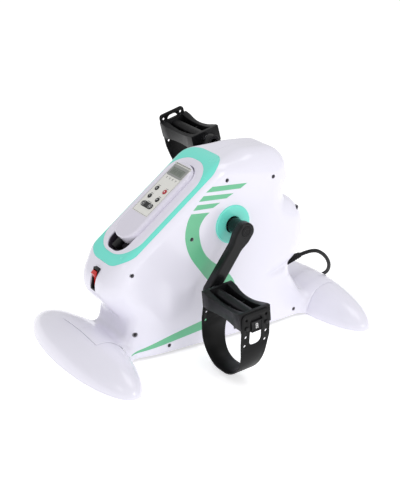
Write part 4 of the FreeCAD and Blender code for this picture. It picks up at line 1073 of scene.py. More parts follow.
# ---------------------------------------------------------------- casing
@dataclass
class CasingForm:
    """The casing's outer form as a distance field: lobed body, skirt and the saddles over the feet."""

    half: float = 63.3
    edge: float = 42.0
    console_edge: float = 20.0
    console_reach: tuple[float, float] = (100.0, 165.0)
    console_depth: tuple[float, float] = (35.0, 90.0)
    console_middle: Point2 = (-94.5, 245.7)
    nose: Point2 = (-223.5, 124.0)
    shoulder: Point2 = (-186.0, 175.0)
    crest: Point2 = (-8.0, 312.5)
    lobe: Point3 = (112.0, 162.0, 72.5)
    skirt_end_half: float = 53.0
    taper: tuple[float, float, float] = (-112.0, 52.0, 184.0)
    skirt_edge: float = 14.0
    skirt_rear_edge: float = 36.0
    crease_blend: float = 12.0
    foot_y: float = 229.0
    dome: Point3 = (168.0, 51.0, 52.0)
    dome_lift: float = 2.0
    saddle_proud: float = 1.0
    saddle_half: float = 54.5
    saddle_end: float = 238.5
    saddle_blend: float = 26.0

    def __post_init__(self) -> None:
        """Works out the two side outlines."""
        lobe_y, lobe_z, lobe_r = self.lobe
        reach = lobe_r / math.cos(math.radians(30))
        lobes = [(lobe_y + reach * math.cos(math.radians(a)), lobe_z + reach * math.sin(math.radians(a)),
                  lobe_r - 0.2) for a in (30.0, -30.0)]
        self.body = Outline([(-158.0, 48.0, 9.0), (*self.nose, 40.0), (*self.shoulder, 45.0),
                             (*self.crest, 60.0), (58.0, 322.0, 60.0), (131.0, 317.0, 42.0),
                             (148.0, 266.0, 22.0), (133.0, 233.6, 9.0), *lobes, (95.0, 68.4, 30.0),
                             (85.0, -40.0, 10.0), (-110.0, -40.0, 10.0)], 4.0)
        self.skirt = Outline([(-229.0, -40.0, 5.0), (-229.0, 26.0, 4.0), (-181.0, 27.0, 24.0),
                              (-171.0, 90.0, 4.0), (0.0, 120.0, 20.0), (150.0, 122.0, 12.0),
                              (163.0, 76.0, 40.0), (181.0, 36.0, 20.0), (229.0, 26.0, 4.0),
                              (229.0, -40.0, 5.0)], 5.0)
        self.slope = math.atan2(self.crest[1] - self.shoulder[1], self.crest[0] - self.shoulder[0])

    def _plan_half(self, y: np.ndarray) -> np.ndarray:
        """Half width of the skirt along the machine."""
        front, rear, end = self.taper
        share = np.maximum((front - y) / (end + front), (y - rear) / (end - rear))
        share = np.clip(share, 0.0, 1.0)
        ease = share * share * (1.6 - 0.6 * share)
        return self.half - (self.half - self.skirt_end_half) * ease

    def _skirt_radius(self, y: np.ndarray, z: np.ndarray) -> np.ndarray:
        """Rounding of the skirt's ends, fuller at the top of the rear one."""
        share = np.clip((z - 40.0) / 40.0, 0.0, 1.0) * np.clip((y - 60.0) / 40.0, 0.0, 1.0)
        return self.skirt_edge + (self.skirt_rear_edge - self.skirt_edge) * share

    def _edge_radius(self, y: np.ndarray, z: np.ndarray) -> np.ndarray:
        """Rounding of the rim, tighter beside the console than anywhere else."""
        dy, dz = y - self.console_middle[0], z - self.console_middle[1]
        along = np.abs(dy * math.cos(self.slope) + dz * math.sin(self.slope))
        deep = dy * math.sin(self.slope) - dz * math.cos(self.slope)
        near = 1.0
        for value, (start, end) in ((along, self.console_reach), (deep, self.console_depth)):
            share = np.clip((value - start) / (end - start), 0.0, 1.0)
            near = near * (1 - eased(share))
        return self.edge - (self.edge - self.console_edge) * near

    @staticmethod
    def _rounded(across: np.ndarray, side: np.ndarray, radius: np.ndarray | float) -> np.ndarray:
        """Distance to a prism whose rim is rounded."""
        a, b = across + radius, side + radius
        outside = np.hypot(np.maximum(a, 0), np.maximum(b, 0))
        return np.minimum(np.maximum(a, b), 0) + outside - radius

    @staticmethod
    def _blended(a: np.ndarray, b: np.ndarray, width: np.ndarray | float) -> np.ndarray:
        """Union of two fields with a soft valley of the given width."""
        width = np.maximum(width, 1e-6)
        near = np.maximum(width - np.abs(a - b), 0) / width
        return np.minimum(a, b) - near * near * width / 4

    def distance(self, points: np.ndarray, layers: int = 0) -> np.ndarray:
        """Signed distance to the casing's outer surface.

        Args:
            points: Rows of X, Y and Z.
            layers: How many layers of X the rows hold, each with the same Y and Z; 0 if they are loose.

        Returns:
            One distance per row, negative inside.
        """
        x = np.abs(points[:, 0])
        y, z = points[:, 1], points[:, 2]
        plane = points[:, 1:]
        if layers:
            cells = plane[:len(plane) // layers]
            body_2d = np.tile(self.body.distance(cells), layers)
            skirt_2d = np.tile(self.skirt.distance(cells), layers)
        else:
            body_2d, skirt_2d = self.body.distance(plane), self.skirt.distance(plane)
        body = self._rounded(x - self.half, body_2d, self._edge_radius(y, z))
        plan = self._plan_half(y)
        skirt = self._rounded(x - plan, skirt_2d, self._skirt_radius(y, z))
        form = self._blended(body, skirt, np.minimum(self.crease_blend, self.half - plan))
        grow = self.saddle_proud
        a, b, c = (part + grow for part in self.dome)
        dy = np.abs(y) - self.foot_y
        dz = z - self.dome_lift
        near = np.sqrt((x / a) ** 2 + (dy / b) ** 2 + (dz / c) ** 2)
        steep = np.sqrt((x / a ** 2) ** 2 + (dy / b ** 2) ** 2 + (dz / c ** 2) ** 2)
        dome = near * (near - 1) / np.maximum(steep, 1e-9)
        limit = np.maximum(x - self.saddle_half - 4, np.abs(y) - self.saddle_end - 4)
        return self._blended(form, np.maximum(dome, limit), self.saddle_blend)

    def side_x(self, y: np.ndarray, z: np.ndarray) -> np.ndarray:
        """X of the right side's surface above points of the mid-plane."""
        low, high = np.full(len(y), 20.0), np.full(len(y), 80.0)
        for _ in range(24):
            middle = (low + high) / 2
            outside = self.distance(np.column_stack([middle, y, z])) > 0
            high = np.where(outside, middle, high)
            low = np.where(outside, low, middle)
        return (low + high) / 2

    def surface(self, step: float, inset: float = 0.0) -> Shape:
        """Skin of the form: a closed mesh of even quads, pulled onto the true surface.

        Args:
            step: Size of the quads.
            inset: How far inside the outer surface the skin lies.

        Returns:
            The closed skin.
        """
        pad = 2.5 * step
        low = np.array([-self.half - pad, -self.saddle_end - 5 - pad, -8.0])
        high = np.array([self.half + pad, self.saddle_end + 5 + pad, 318.0 + pad])
        axes = [np.arange(a, b + step, step) + 0.37 * step for a, b in zip(low, high)]
        shape = tuple(len(a) for a in axes)
        grid = np.stack(np.meshgrid(*axes, indexing="ij"), -1).reshape(-1, 3)
        values = self.distance(grid, shape[0]).reshape(shape) + inset
        values[:, :, 0] = np.maximum(values[:, :, 0], 0.5)
        return self._net(values, axes, step, inset)

    def _net(self, values: np.ndarray, axes: list[np.ndarray], step: float, inset: float) -> Shape:
        """Joins the cells that the surface passes through into quads."""
        inside = values < 0
        nx, ny, nz = values.shape
        corner = {}
        for key in np.ndindex(2, 2, 2):
            i, j, k = key
            corner[key] = values[i:nx - 1 + i, j:ny - 1 + j, k:nz - 1 + k]
        count = sum((c < 0).astype(np.int8) for c in corner.values())
        mixed = (count > 0) & (count < 8)
        total = np.zeros((*mixed.shape, 3))
        hits = np.zeros(mixed.shape)
        for key in np.ndindex(2, 2, 2):
            for axis in range(3):
                if key[axis]:
                    continue
                other = tuple(1 if n == axis else key[n] for n in range(3))
                a, b = corner[key], corner[other]
                cross = ((a < 0) != (b < 0)) & mixed
                share = np.where(cross, a / np.where(cross, a - b, 1), 0)
                for n in range(3):
                    total[..., n] += np.where(cross, share if n == axis else key[n], 0)
                hits += cross
        index = np.full(mixed.shape, -1)
        index[mixed] = np.arange(int(mixed.sum()))
        cells = np.argwhere(mixed)
        local = total[mixed] / hits[mixed][:, None]
        origin = np.array([a[0] for a in axes])
        points = origin + (cells + local) * step
        quads = []
        for axis in range(3):
            u, v = (axis + 1) % 3, (axis + 2) % 3
            first = [slice(1, -1)] * 3
            first[axis] = slice(0, -1)
            second = list(first)
            second[axis] = slice(1, None)
            here, there = inside[tuple(first)], inside[tuple(second)]
            for leaving in (True, False):
                where = np.argwhere((here & ~there) if leaving else (~here & there))
                base = where + np.array([0 if n == axis else 1 for n in range(3)])
                ring = []
                for du, dv in ((0, 0), (-1, 0), (-1, -1), (0, -1)):
                    cell = base.copy()
                    cell[:, u] += du
                    cell[:, v] += dv
                    ring.append(index[cell[:, 0], cell[:, 1], cell[:, 2]])
                quad = np.column_stack(ring)
                quads.append(quad if leaving else quad[:, ::-1])
        faces = np.concatenate(quads)
        for _ in range(3):
            gap = self.distance(points) + inset
            slope = np.stack([(self.distance(points + np.eye(3)[n] * 0.05) + inset - gap) / 0.05
                              for n in range(3)], 1)
            size = np.maximum((slope ** 2).sum(1), 0.2)
            shift = np.clip(gap / size, -step / 2, step / 2)
            shift[points[:, 2] < -5] = 0
            points = points - shift[:, None] * slope
        return Shape(points, [tuple(f) for f in faces.tolist()])


@dataclass
class Console:
    """Sizes of the console on the casing's slope: (x, v along the slope, w out of it)."""

    form: CasingForm
    centre_y: float = -94.5
    surround: tuple[float, float, float, float] = (57.0, -127.5, 127.5, 40.0)
    cradle: tuple[float, float, float, float] = (50.0, -108.5, 100.0, 44.0)
    handset: tuple[float, float, float, float] = (29.0, -81.0, 84.0, 26.0)
    notch: tuple[float, float, float, float] = (28.0, -103.0, -41.0, 22.0)
    label: tuple[float, float, float] = (23.5, -30.5, 78.0)
    lcd: tuple[float, float, float] = (17.0, 55.6, 67.6)
    frame_box: tuple[float, float, float] = (21.6, 51.0, 73.6)
    face: float = 9.0
    pocket: float = -9.0
    notch_floor: float = -21.0
    cradle_low: float = -25.0
    seam: float = 0.18
    keys: dict[str, tuple[float, float]] = field(default_factory=lambda: {
        "mode": (-12.0, 21.4), "time": (-12.0, 3.9), "stop": (12.0, 21.4), "start": (12.0, 3.9)})
    speed_v: float = -12.0
    lead_v: float = -91.0

    @property
    def matrix(self) -> Matrix:
        """Carries console coordinates to the machine's."""
        slope, shoulder = self.form.slope, self.form.shoulder
        height = shoulder[1] + (self.centre_y - shoulder[0]) * math.tan(slope)
        return Matrix.Translation((0.0, self.centre_y, height)) @ Matrix.Rotation(slope, 4, "X")

    @property
    def out(self) -> Callable[[np.ndarray], np.ndarray]:
        """Carries console points to the machine's frame."""
        return through(self.matrix)

    @staticmethod
    def rounded(half: float, low: float, high: float, corner: float, room: float = 0.0,
                step: float = 5.0) -> Outline:
        """Outline with rounded ends, grown by room."""
        return Outline([(-half - room, low - room, corner + room), (half + room, low - room, corner + room),
                        (half + room, high + room, corner + room),
                        (-half - room, high + room, corner + room)], step)

    def prism(self, size: Sequence[float], room: float, low: float, high: float) -> Shape:
        """Upright cutter of one of the console's outlines."""
        return slab(self.rounded(*size, room), low, high).placed(self.out)


@dataclass
class Casing:
    """The two white half shells, the coloured band, the printed graphics and the hub discs."""

    form: CasingForm
    console: Console
    grid: float = 2.0
    wall: float = 2.5
    bottom: float = 6.0
    seam: float = 0.15
    hub: Point2 = (15.9, 208.0)
    hub_radius: float = 33.2
    hub_lip: float = 4.0
    lead_hole: float = 7.7
    rim_screws: tuple[Point2, ...] = ((3.7, 285.7), (96.1, 276.2), (-62.8, 196.7), (-173.8, 157.6),
                                      (161.0, 204.0), (-166.0, 49.0))
    base_screws: tuple[Point2, ...] = ((-105.2, 17.0), (26.4, 17.0), (156.2, 17.0))
    screw_hole: float = 3.5
    hole_depth: float = 12.0
    rim_screw_x: float = 9.3
    base_screw_x: float = 31.3
    well_middle: float = 6.8
    print_lift: float = 0.12
    end_gap: float = 2.0

    def build(self) -> None:
        """Makes every piece of the casing."""
        outer = solid(self.form.surface(self.grid), "casing_outer")
        inner = solid(self.form.surface(4.0, self.wall), "casing_inner")
        LOG.info("casing skin: %d faces", len(outer.data.polygons))
        skin = copy_of(outer, "casing_skin")
        carve(skin, inner)
        self._band(skin)
        self._cradle(outer)
        self._shells(skin)
        for rest in (outer, inner, skin):
            discard(rest)
        self._graphics()
        self._hub_discs()
        self._screws()

    def _band(self, skin: bpy.types.Object) -> None:
        """Coloured strip of the casing round the cradle."""
        console = self.console
        band = copy_of(skin, "console_band")
        carve(band, console.prism(console.surround, -console.seam, -60.0, 90.0), Cut.KEEP)
        carve(band, console.prism(console.cradle, 0.0, -70.0, 100.0))
        dress(band, Finishes.MINT, "base", ["console_surround"])

    def _cradle(self, outer: bpy.types.Object) -> None:
        """White bed of the handset, with its pocket and the notch for a finger."""
        console = self.console
        bed = copy_of(outer, "handset_bed")
        carve(bed, console.prism(console.cradle, -console.seam, console.cradle_low, 60.0), Cut.KEEP)
        half, low, high, corner = console.handset
        pocket = (half, low, high + self.end_gap, corner)
        carve(bed, console.prism(pocket, 0.35, console.pocket - 0.25, 80.0))
        carve(bed, console.prism(console.notch, 0.0, console.notch_floor, 80.0))
        dress(bed, Finishes.CRADLE, "base", ["handset_cradle"])

    def _shells(self, skin: bpy.types.Object) -> None:
        """The right and the left half shell, with every opening."""
        console, form = self.console, self.form
        carve(skin, box_shape((-90.0, -300.0, -30.0), (90.0, 300.0, self.bottom)))
        carve(skin, console.prism(console.surround, 0.0, -60.0, 90.0))
        carve(skin, PowerSwitch().slot(0.15))
        for sign in (-1, 1):
            far = sorted((sign * form.saddle_end, sign * 300.0))
            carve(skin, box_shape((-90.0, far[0], -5.0), (90.0, far[1], 80.0)))
            room = Feet(form).dome("foot_room", sign, 0.5)
            carve(room, box_shape((-form.saddle_half, -300.0, -40.0), (form.saddle_half, 300.0, 90.0)))
            carve(skin, room)
            discard(room)
        hole = rod(-90.0, 90.0, self.hub_radius - self.hub_lip, 64)
        carve(skin, hole.placed(moved((0.0, *self.hub))))
        carve(skin, rod(-40.0, 30.0, self.lead_hole, 40).placed(through(MainsLead().axis_frame())))
        for side in Side:
            shell = copy_of(skin, "casing_shell_" + side.word)
            across = sorted((side.value * self.seam, side.value * 90.0))
            carve(shell, box_shape((across[0], -300.0, -20.0), (across[1], 300.0, 400.0)), Cut.KEEP)
            spots = [*self.base_screws, *(self.rim_screws if side is Side.RIGHT else ())]
            depths = form.side_x(*np.array(spots).T) - self.hole_depth
            for (y, z), start in zip(spots, depths):
                x = sorted((side.value * start, side.value * 90.0))
                radius = self.screw_hole + (1.0 if (y, z) == self.rim_screws[-1] else 0.0)
                carve(shell, rod(*x, radius).placed(moved((0.0, y, z))))
            dress(shell, Finishes.WHITE, "base", ["casing_" + side.word], 32.0)

    def _screws(self) -> None:
        """Screws, and the moulded wells that they sit in, in a darker grey that paints the shade inside the
        screw holes.
        """
        screws, wells = screw_grower("screws"), well_grower("screw_wells", Finishes.WELL_SHADE_GREY)
        low = [(self.base_screw_x, y, z) for y, z in self.base_screws]
        seeds = [(self.rim_screw_x, y, z) for y, z in self.rim_screws] + low
        dress(screws.grow("casing_screw_heads", seeds), Finishes.SCREW_STEEL, "base",
              ["casing_screws"])
        turned_back = screws.grow("casing_screw_heads_left", low)
        turned_back.data.transform(Matrix.Scale(-1.0, 4, (1.0, 0.0, 0.0)))
        turned_back.data.flip_normals()
        dress(turned_back, Finishes.SCREW_STEEL, "base")
        at = np.array([*self.rim_screws, *self.base_screws])
        surface = self.form.side_x(at[:, 0], at[:, 1])
        depth, left = self.well_middle, len(self.base_screws)
        middles = [(x - depth, y, z) for x, (y, z) in zip(surface, at)]
        middles += [(depth - x, y, z) for x, (y, z) in zip(surface[-left:], at[-left:])]
        # The wells' grey is painted shade for the inside of the screw holes.
        dress(wells.grow("screw_wells", middles), Finishes.WELL_SHADE_GREY, "base")

    def _ribbon(self, one: Sequence[Point2], other: Sequence[Point2], along: int, across: int) -> Shape:
        """Thin print on the right side between two lines.

        Args:
            one: Points of one edge, as (y, z).
            other: Points of the other edge, in the same direction.
            along: Cells along the edges.
            across: Cells between them.

        Returns:
            A closed sheet that follows the casing.
        """
        first, last = smooth_line(one, along + 1), smooth_line(other, along + 1)
        share = np.linspace(0, 1, across + 1)[None, :, None]
        grid = (first[:, None] * (1 - share) + last[:, None] * share).reshape(-1, 2)
        x = self.form.side_x(grid[:, 0], grid[:, 1])
        top = np.column_stack([x + self.print_lift, grid])
        low = np.column_stack([x - 0.2, grid])
        size = len(grid)
        wide = across + 1
        faces = []
        for i in range(along):
            for j in range(across):
                quad = (i * wide + j, (i + 1) * wide + j, (i + 1) * wide + j + 1, i * wide + j + 1)
                faces.append(quad)
                faces.append(tuple(size + n for n in reversed(quad)))
        rim = [j for j in range(across)] + [i * wide + across for i in range(along)]
        rim += [along * wide + j for j in range(across, 0, -1)] + [i * wide for i in range(along, 0, -1)]
        for a, b in zip(rim, rim[1:] + rim[:1]):
            faces.append((a, b, size + b, size + a))
        return facing_out(Shape(np.concatenate([top, low]), faces))

    def _graphics(self) -> None:
        """Speed bars, the sweep round the hub and the wedge along the bottom, on both sides."""
        bars = [((-36.6, 272.0), (-24.3, 279.8), (43.4, 274.8), (30.0, 267.6)),
                ((-50.1, 258.9), (-41.0, 266.9), (16.5, 261.7), (2.9, 255.4)),
                ((-61.0, 245.6), (-52.8, 253.7), (-9.3, 250.1), (-22.6, 243.7))]
        prints = [self._ribbon([low_a, low_b], [high_a, high_b], 30, 5)
                  for low_a, high_a, high_b, low_b in bars]
        outer = [(-64.6, 240.5), (-71.2, 228.8), (-75.7, 208.2), (-73.9, 188.8), (-65.0, 165.0),
                 (-45.4, 136.4), (-27.8, 113.9), (-8.5, 96.1), (6.0, 84.0), (18.0, 79.0)]
        inner = [(-29.5, 237.0), (-40.7, 227.8), (-48.9, 211.6), (-46.0, 186.6), (-38.1, 167.4),
                 (-24.7, 151.4), (-6.4, 136.4), (11.6, 119.6), (22.4, 102.3), (25.0, 84.0)]
        prints.append(self._ribbon(outer, inner, 90, 8))
        wedge_top = [(-176.6, 16.2), (-147.6, 23.4), (-116.7, 31.9), (-84.8, 38.6), (-41.4, 46.6),
                     (-22.0, 50.0)]
        wedge_low = [(-176.0, 15.0), (-147.7, 17.2), (-116.7, 21.0), (-84.7, 24.8), (-41.2, 30.0),
                     (-30.0, 31.2)]
        prints.append(self._ribbon(wedge_top, wedge_low, 50, 4))
        for side in Side:
            made = solid(prints[0].joined(*prints[1:]).on(side), "graphics_" + side.word)
            for y, z in self.rim_screws if side is Side.RIGHT else ():
                carve(made, rod(10.0, 90.0, self.screw_hole).placed(moved((0.0, y, z))))
            dress(made, Finishes.GREEN, "base")

    def _hub_discs(self) -> None:
        """Coloured discs round the crankshaft."""
        low, high, r = self.form.half - 0.1, self.form.half + 3.0, self.hub_radius
        edge = [(high - 2.4 * (1 - math.sin(a)), r - 2.4 * (1 - math.cos(a)))
                for a in np.linspace(0, math.pi / 2, 7)]
        profile = [(low - 7.0, 14.2), (low - 7.0, r - 4.2), (low, r - 4.2), (low, r), *edge,
                   (high, r - 3.0), (high, 15.6), (high - 0.4, 14.6), (high - 1.2, 14.2)]
        for side in Side:
            disc = turned(profile, 96, True).placed(moved((0.0, *self.hub))).on(side)
            piece("hub_disc_" + side.word, disc, Finishes.MINT, "base",
                  ["hub_cover_" + side.word])


@dataclass
class PowerSwitch:
    """Rocker switch on the nose; in its own frame Y goes into the casing."""

    face_y: float = -204.6
    height_z: float = 137.0
    lean: float = 10.0
    width: float = 16.0
    height: float = 38.0
    proud: float = 4.0

    @property
    def matrix(self) -> Matrix:
        """Carries the switch's frame to the machine's."""
        turn = Matrix.Rotation(math.radians(-self.lean), 4, "X")
        return Matrix.Translation((0.0, self.face_y, self.height_z)) @ turn

    def slot(self, room: float) -> Shape:
        """Cutter for the switch's opening."""
        half_w, half_h = self.width / 2 + room, self.height / 2 + room
        return box_shape((-half_w, -30.0, -half_h), (half_w, 30.0, half_h)).placed(through(self.matrix))

    def build(self) -> None:
        """Makes the bezel and the rocker from their nodes, with eased edges."""
        out = moved((0.0, -self.proud, 0.0))
        softened("switch_bezel", "switch_frame", 0.5, Finishes.BLACK, "base", place=out)
        softened("switch_rocker", "switch_lever", 0.4, Finishes.ROCKER, "rocker",
                 place=out)


# ---------------------------------------------------------------- feet
@dataclass
class Feet:
    """The two domed feet, with the room that the casing's saddles take, and their rubber pads."""

    form: CasingForm
    wall: float = 3.0
    gap: float = 0.45
    pad_x: float = 104.0
    pad_radius: float = 11.0
    pad_height: float = 9.0

    def dome(self, name: str, sign: int, room: float) -> bpy.types.Object:
        """Grows one foot's dome.

        Args:
            name: Name of the object.
            sign: -1 for the front foot and 1 for the rear one.
            room: How much larger than the foot it is; negative for its hollow.

        Returns:
            The dome, as a plain mesh.
        """
        grower = dome_grower("foot_dome", Finishes.WHITE)
        long, deep, high = self.form.dome
        grower.values["Half length"] = (long + room) * MM
        grower.values["Half depth"] = (deep + room) * MM
        grower.values["Height"] = (high + room) * MM
        if room < 0:
            grower.values["Lift"] = -1.0 * MM
        return grower.grow(name, [(0.0, sign * self.form.foot_y, 0.0)])

    def build(self) -> None:
        """Makes the feet and the pads."""
        form = self.form
        for name, sign in (("front", -1), ("rear", 1)):
            foot = self.dome("foot_" + name, sign, 0.0)
            inside = self.dome("inside", sign, -self.wall)
            carve(foot, inside)
            discard(inside)
            y = sorted((sign * 150.0, sign * (form.saddle_end + self.gap)))
            half = form.saddle_half + self.gap
            carve(foot, box_shape((-half, y[0], -5.0), (half, y[1], 90.0)))
            dress(foot, Finishes.WHITE, "base", [name + "_foot"], 32.0)
        pads = well_grower("pads", Finishes.RUBBER, False)
        pads.values["Outer radius"] = self.pad_radius * MM
        pads.values["Inner radius"] = 3.0 * MM
        pads.values["Depth"] = self.pad_height * MM
        pads.values["Sides"] = 40
        seeds = [(x, y, self.pad_height / 2) for x in (-self.pad_x, self.pad_x)
                 for y in (-form.foot_y, form.foot_y)]
        dress(pads.grow("foot_pad_rings", seeds), Finishes.RUBBER, "base", ["foot_pads"])


# ---------------------------------------------------------------- handset
@dataclass
class Handset:
    """The lift-out handset: shell, film label, display, keys with their signs, and its lead."""

    console: Console
    body: str = "handset"
    edge: float = 4.0
    film: float = 0.16
    sign: float = 0.08
    key_radius: float = 4.3
    key_hole: float = 4.55
    key_proud: float = 1.4
    speed_half: float = 16.0
    speed_end: float = 5.0

    def build(self) -> None:
        """Makes every piece of the handset."""
        console = self.console
        half, low, high, corner = console.handset
        outline = console.rounded(half, low, high, corner, 0.0, 4.0)
        shell = solid(slab(outline, console.pocket, console.face, 2.0, self.edge, 7), "handset_shell")
        for name, (x, v) in console.keys.items():
            well = upright([(-9.0, self.key_hole), (3.0, self.key_hole)], 32)
            carve(shell, well.placed(moved((x, v, console.face))))
        carve(shell, slab(self._speed_outline(0.25), console.face - 9.0, console.face + 3.0))
        half_lcd, v0, v1 = console.lcd
        carve(shell, box_shape((-half_lcd, v0, console.face - 4.0), (half_lcd, v1, console.face + 3.0)))
        shell.data.transform(self._metres())
        dress(shell, Finishes.HANDSET, self.body, ["handset_front", "handset_back"])
        self._label()
        self._display()
        self._keys()
        self._lead()

    def _metres(self) -> Matrix:
        """The console's matrix for a mesh that is already in metres."""
        place = self.console.matrix.copy()
        place.translation = place.translation * MM
        return place

    def _speed_outline(self, room: float) -> Outline:
        """Outline of the two-way key: two round ends joined by a slimmer bar."""
        v = self.console.speed_v
        half, end = self.speed_half + room, self.speed_end + room
        return Outline([(-half, v - end, end - 0.1), (half, v - end, end - 0.1),
                        (half, v + end, end - 0.1), (-half, v + end, end - 0.1)], 8.0)

    def _plate(self, outline: Outline, low: float, high: float) -> Shape:
        """Flat print or film on the handset's face, from low to high above it."""
        face = self.console.face
        return slab(outline, face + low, face + high).placed(self.console.out)

    def _frame_print(self, half: float, low: float, high: float, line: float, corner: float) -> Shape:
        """Thin printed rectangle."""
        outside = Console.rounded(half, low, high, corner, 0.0, 15.0)
        face = self.console.face
        rings = []
        for inset, height in ((0.0, self.film), (line, self.film), (line, self.film + self.sign),
                              (0.0, self.film + self.sign)):
            loop = outside.loop(inset)
            rings.append(np.column_stack([loop, np.full(len(loop), face + height)]))
        return facing_out(stacked(rings, False, True)).placed(self.console.out)

    def _bar(self, x0: float, x1: float, v0: float, v1: float, low: float, high: float,
             corner: float = 0.2) -> Shape:
        """Small flat bar."""
        outline = Outline([(x0, v0, corner), (x1, v0, corner), (x1, v1, corner), (x0, v1, corner)], 30.0)
        return self._plate(outline, low, high)

    def _label(self) -> None:
        """Film label with its outline, lines and row of small signs."""
        console = self.console
        half, low, high = console.label
        film = solid(slab(Console.rounded(half, low, high, 1.2, 0.0, 20.0), console.face - 0.5,
                          console.face + self.film), "label_film")
        for x, v in console.keys.values():
            opening = upright([(-3.0, self.key_hole + 0.05), (3.0, self.key_hole + 0.05)], 32)
            carve(film, opening.placed(moved((x, v, console.face))))
        carve(film, slab(self._speed_outline(0.3), console.face - 3.0, console.face + 3.0))
        half_lcd, v0, v1 = console.lcd
        carve(film, box_shape((-half_lcd, v0, console.face - 3.0), (half_lcd, v1, console.face + 3.0)))
        film.data.transform(self._metres())
        dress(film, Finishes.LABEL, self.body, ["keypad_label"])
        top = self.film + self.sign
        ink = [self._frame_print(half - 0.8, low + 0.8, high - 0.8, 0.42, 1.0)]
        for v in (75.2, 76.4):
            ink.append(self._bar(-half + 2.5, half - 2.5, v - 0.2, v + 0.2, self.film, top, 0.1))
        for k in range(4):
            x = -13.5 + 9.0 * k
            ink.append(self._bar(x - 1.9, x + 1.9, 46.9, 47.5, self.film, top))
            ink.append(self._bar(x - 0.3, x + 0.3, 45.4, 46.6, self.film, top, 0.1))
            ink.append(self._bar(x - 1.2, x + 1.2, 44.6, 45.1, self.film, top))
        for x, v in console.keys.values():
            ink.append(self._bar(x - 3.6, x + 3.6, v + 6.0, v + 6.7, self.film, top))
        ink.append(self._bar(-5.0, 5.0, console.speed_v + 6.6, console.speed_v + 7.3, self.film, top))
        piece("label_print", ink[0].joined(*ink[1:]), Finishes.INK, self.body)

    def _display(self) -> None:
        """Grey frame round the display, the glass and its unlit segments."""
        console = self.console
        half, low, high = console.frame_box
        half_lcd, v0, v1 = console.lcd
        outside = Console.rounded(half, low, high, 2.0, 0.0, 12.0)
        inside = Console.rounded(half_lcd + 0.8, v0 - 0.8, v1 + 0.8, 0.8, 0.0, 30.0)
        face = console.face
        frame_solid = solid(slab(outside, face - 0.4, face + 0.75, 0.0, 0.45, 3), "display_frame")
        carve(frame_solid, slab(inside, face - 2.0, face + 3.0))
        frame_solid.data.transform(self._metres())
        dress(frame_solid, Finishes.BEZEL_GREY, self.body)
        glass = slab(Console.rounded(half_lcd + 0.7, v0 - 0.7, v1 + 0.7, 0.7, 0.0, 30.0), face - 1.4,
                     face + 0.3).placed(console.out)
        piece("display_glass", glass, Finishes.LCD, self.body, ["display_window"])
        digits = []
        for k in range(4):
            x = -11.4 + 6.4 * k + (1.6 if k > 1 else 0.0)
            for v in (58.4, 61.6, 64.8):
                digits.append(self._bar(x - 1.3, x + 1.3, v - 0.3, v + 0.3, 0.3, 0.36, 0.1))
            for dx in (-1.7, 1.7):
                for v in (60.0, 63.2):
                    digits.append(self._bar(x + dx - 0.28, x + dx + 0.28, v - 1.2, v + 1.2, 0.3, 0.36, 0.1))
        piece("display_digits", digits[0].joined(*digits[1:]), Finishes.INK, self.body)

    def _keys(self) -> None:
        """Round keys and the two-way key, each with a generic sign."""
        console = self.console
        face = console.face
        top = self.key_proud
        for name, (x, v) in console.keys.items():
            r = self.key_radius
            crown = [(face - 5.0, r), (face + top - 0.9, r)]
            crown += [(face + top - 0.9 + 0.7 * math.sin(a), r - 0.7 * (1 - math.cos(a)))
                      for a in np.linspace(0.3, math.pi / 2, 4)]
            crown += [(face + top - 0.08, r - 1.6), (face + top, 0.9)]
            cap = upright(crown, 36).placed(moved((x, v, 0.0)))
            finish = Finishes.KEY_RED if name == "stop" else Finishes.KEY_BLACK
            piece("key_cap_" + name, cap.placed(console.out), finish, "key_" + name,
                  ["button_" + name])
            marks = self._sign(name, x, v, top)
            piece("key_sign_" + name, marks[0].joined(*marks[1:]), Finishes.WHITE_INK, "key_" + name)
        body = slab(self._speed_outline(0.0), face - 4.0, face + top, 0.0, 0.7, 4).placed(console.out)
        piece("key_cap_speed", body, Finishes.KEY_BLACK, "key_speed", ["speed_key"])
        v = console.speed_v
        ends = []
        for x in (-10.4, 10.4):
            loop = [(x + 3.9 * math.cos(a), v + 3.9 * math.sin(a)) for a in
                    np.linspace(0, 2 * math.pi, 24, endpoint=False)]
            rings = [np.array([(x + (a - x) * k, v + (b - v) * k, face + h) for a, b in loop])
                     for k, h in ((1.0, top), (0.9, top), (0.9, top + 0.12), (1.0, top + 0.12))]
            ends.append(facing_out(stacked(rings, False, True)).placed(console.out))
            ends.append(self._bar(x - 1.8, x + 1.8, v - 0.35, v + 0.35, top, top + self.sign, 0.1))
            if x > 0:
                ends.append(self._bar(x - 0.35, x + 0.35, v - 1.8, v + 1.8, top, top + self.sign + 0.02,
                                      0.1))
        piece("key_sign_speed", ends[0].joined(*ends[1:]), Finishes.WHITE_INK, "key_speed")

    def _sign(self, name: str, x: float, v: float, top: float) -> list[Shape]:
        """Sign on a key: two lines, a clock's hands, a square or a triangle."""
        high = top + self.sign
        if name == "mode":
            return [self._bar(x - 1.7, x + 1.7, v + d - 0.28, v + d + 0.28, top, high, 0.1)
                    for d in (-0.9, 0.9)]
        if name == "time":
            return [self._bar(x - 0.28, x + 0.28, v - 0.2, v + 2.0, top, high, 0.1),
                    self._bar(x - 0.2, x + 1.6, v - 0.28, v + 0.28, top, high + 0.02, 0.1)]
        if name == "stop":
            return [self._bar(x - 1.1, x + 1.1, v - 1.1, v + 1.1, top, high)]
        triangle = Outline([(x - 1.0, v - 1.4, 0.1), (x + 1.6, v, 0.1), (x - 1.0, v + 1.4, 0.1)], 40.0)
        return [self._plate(triangle, top, high)]

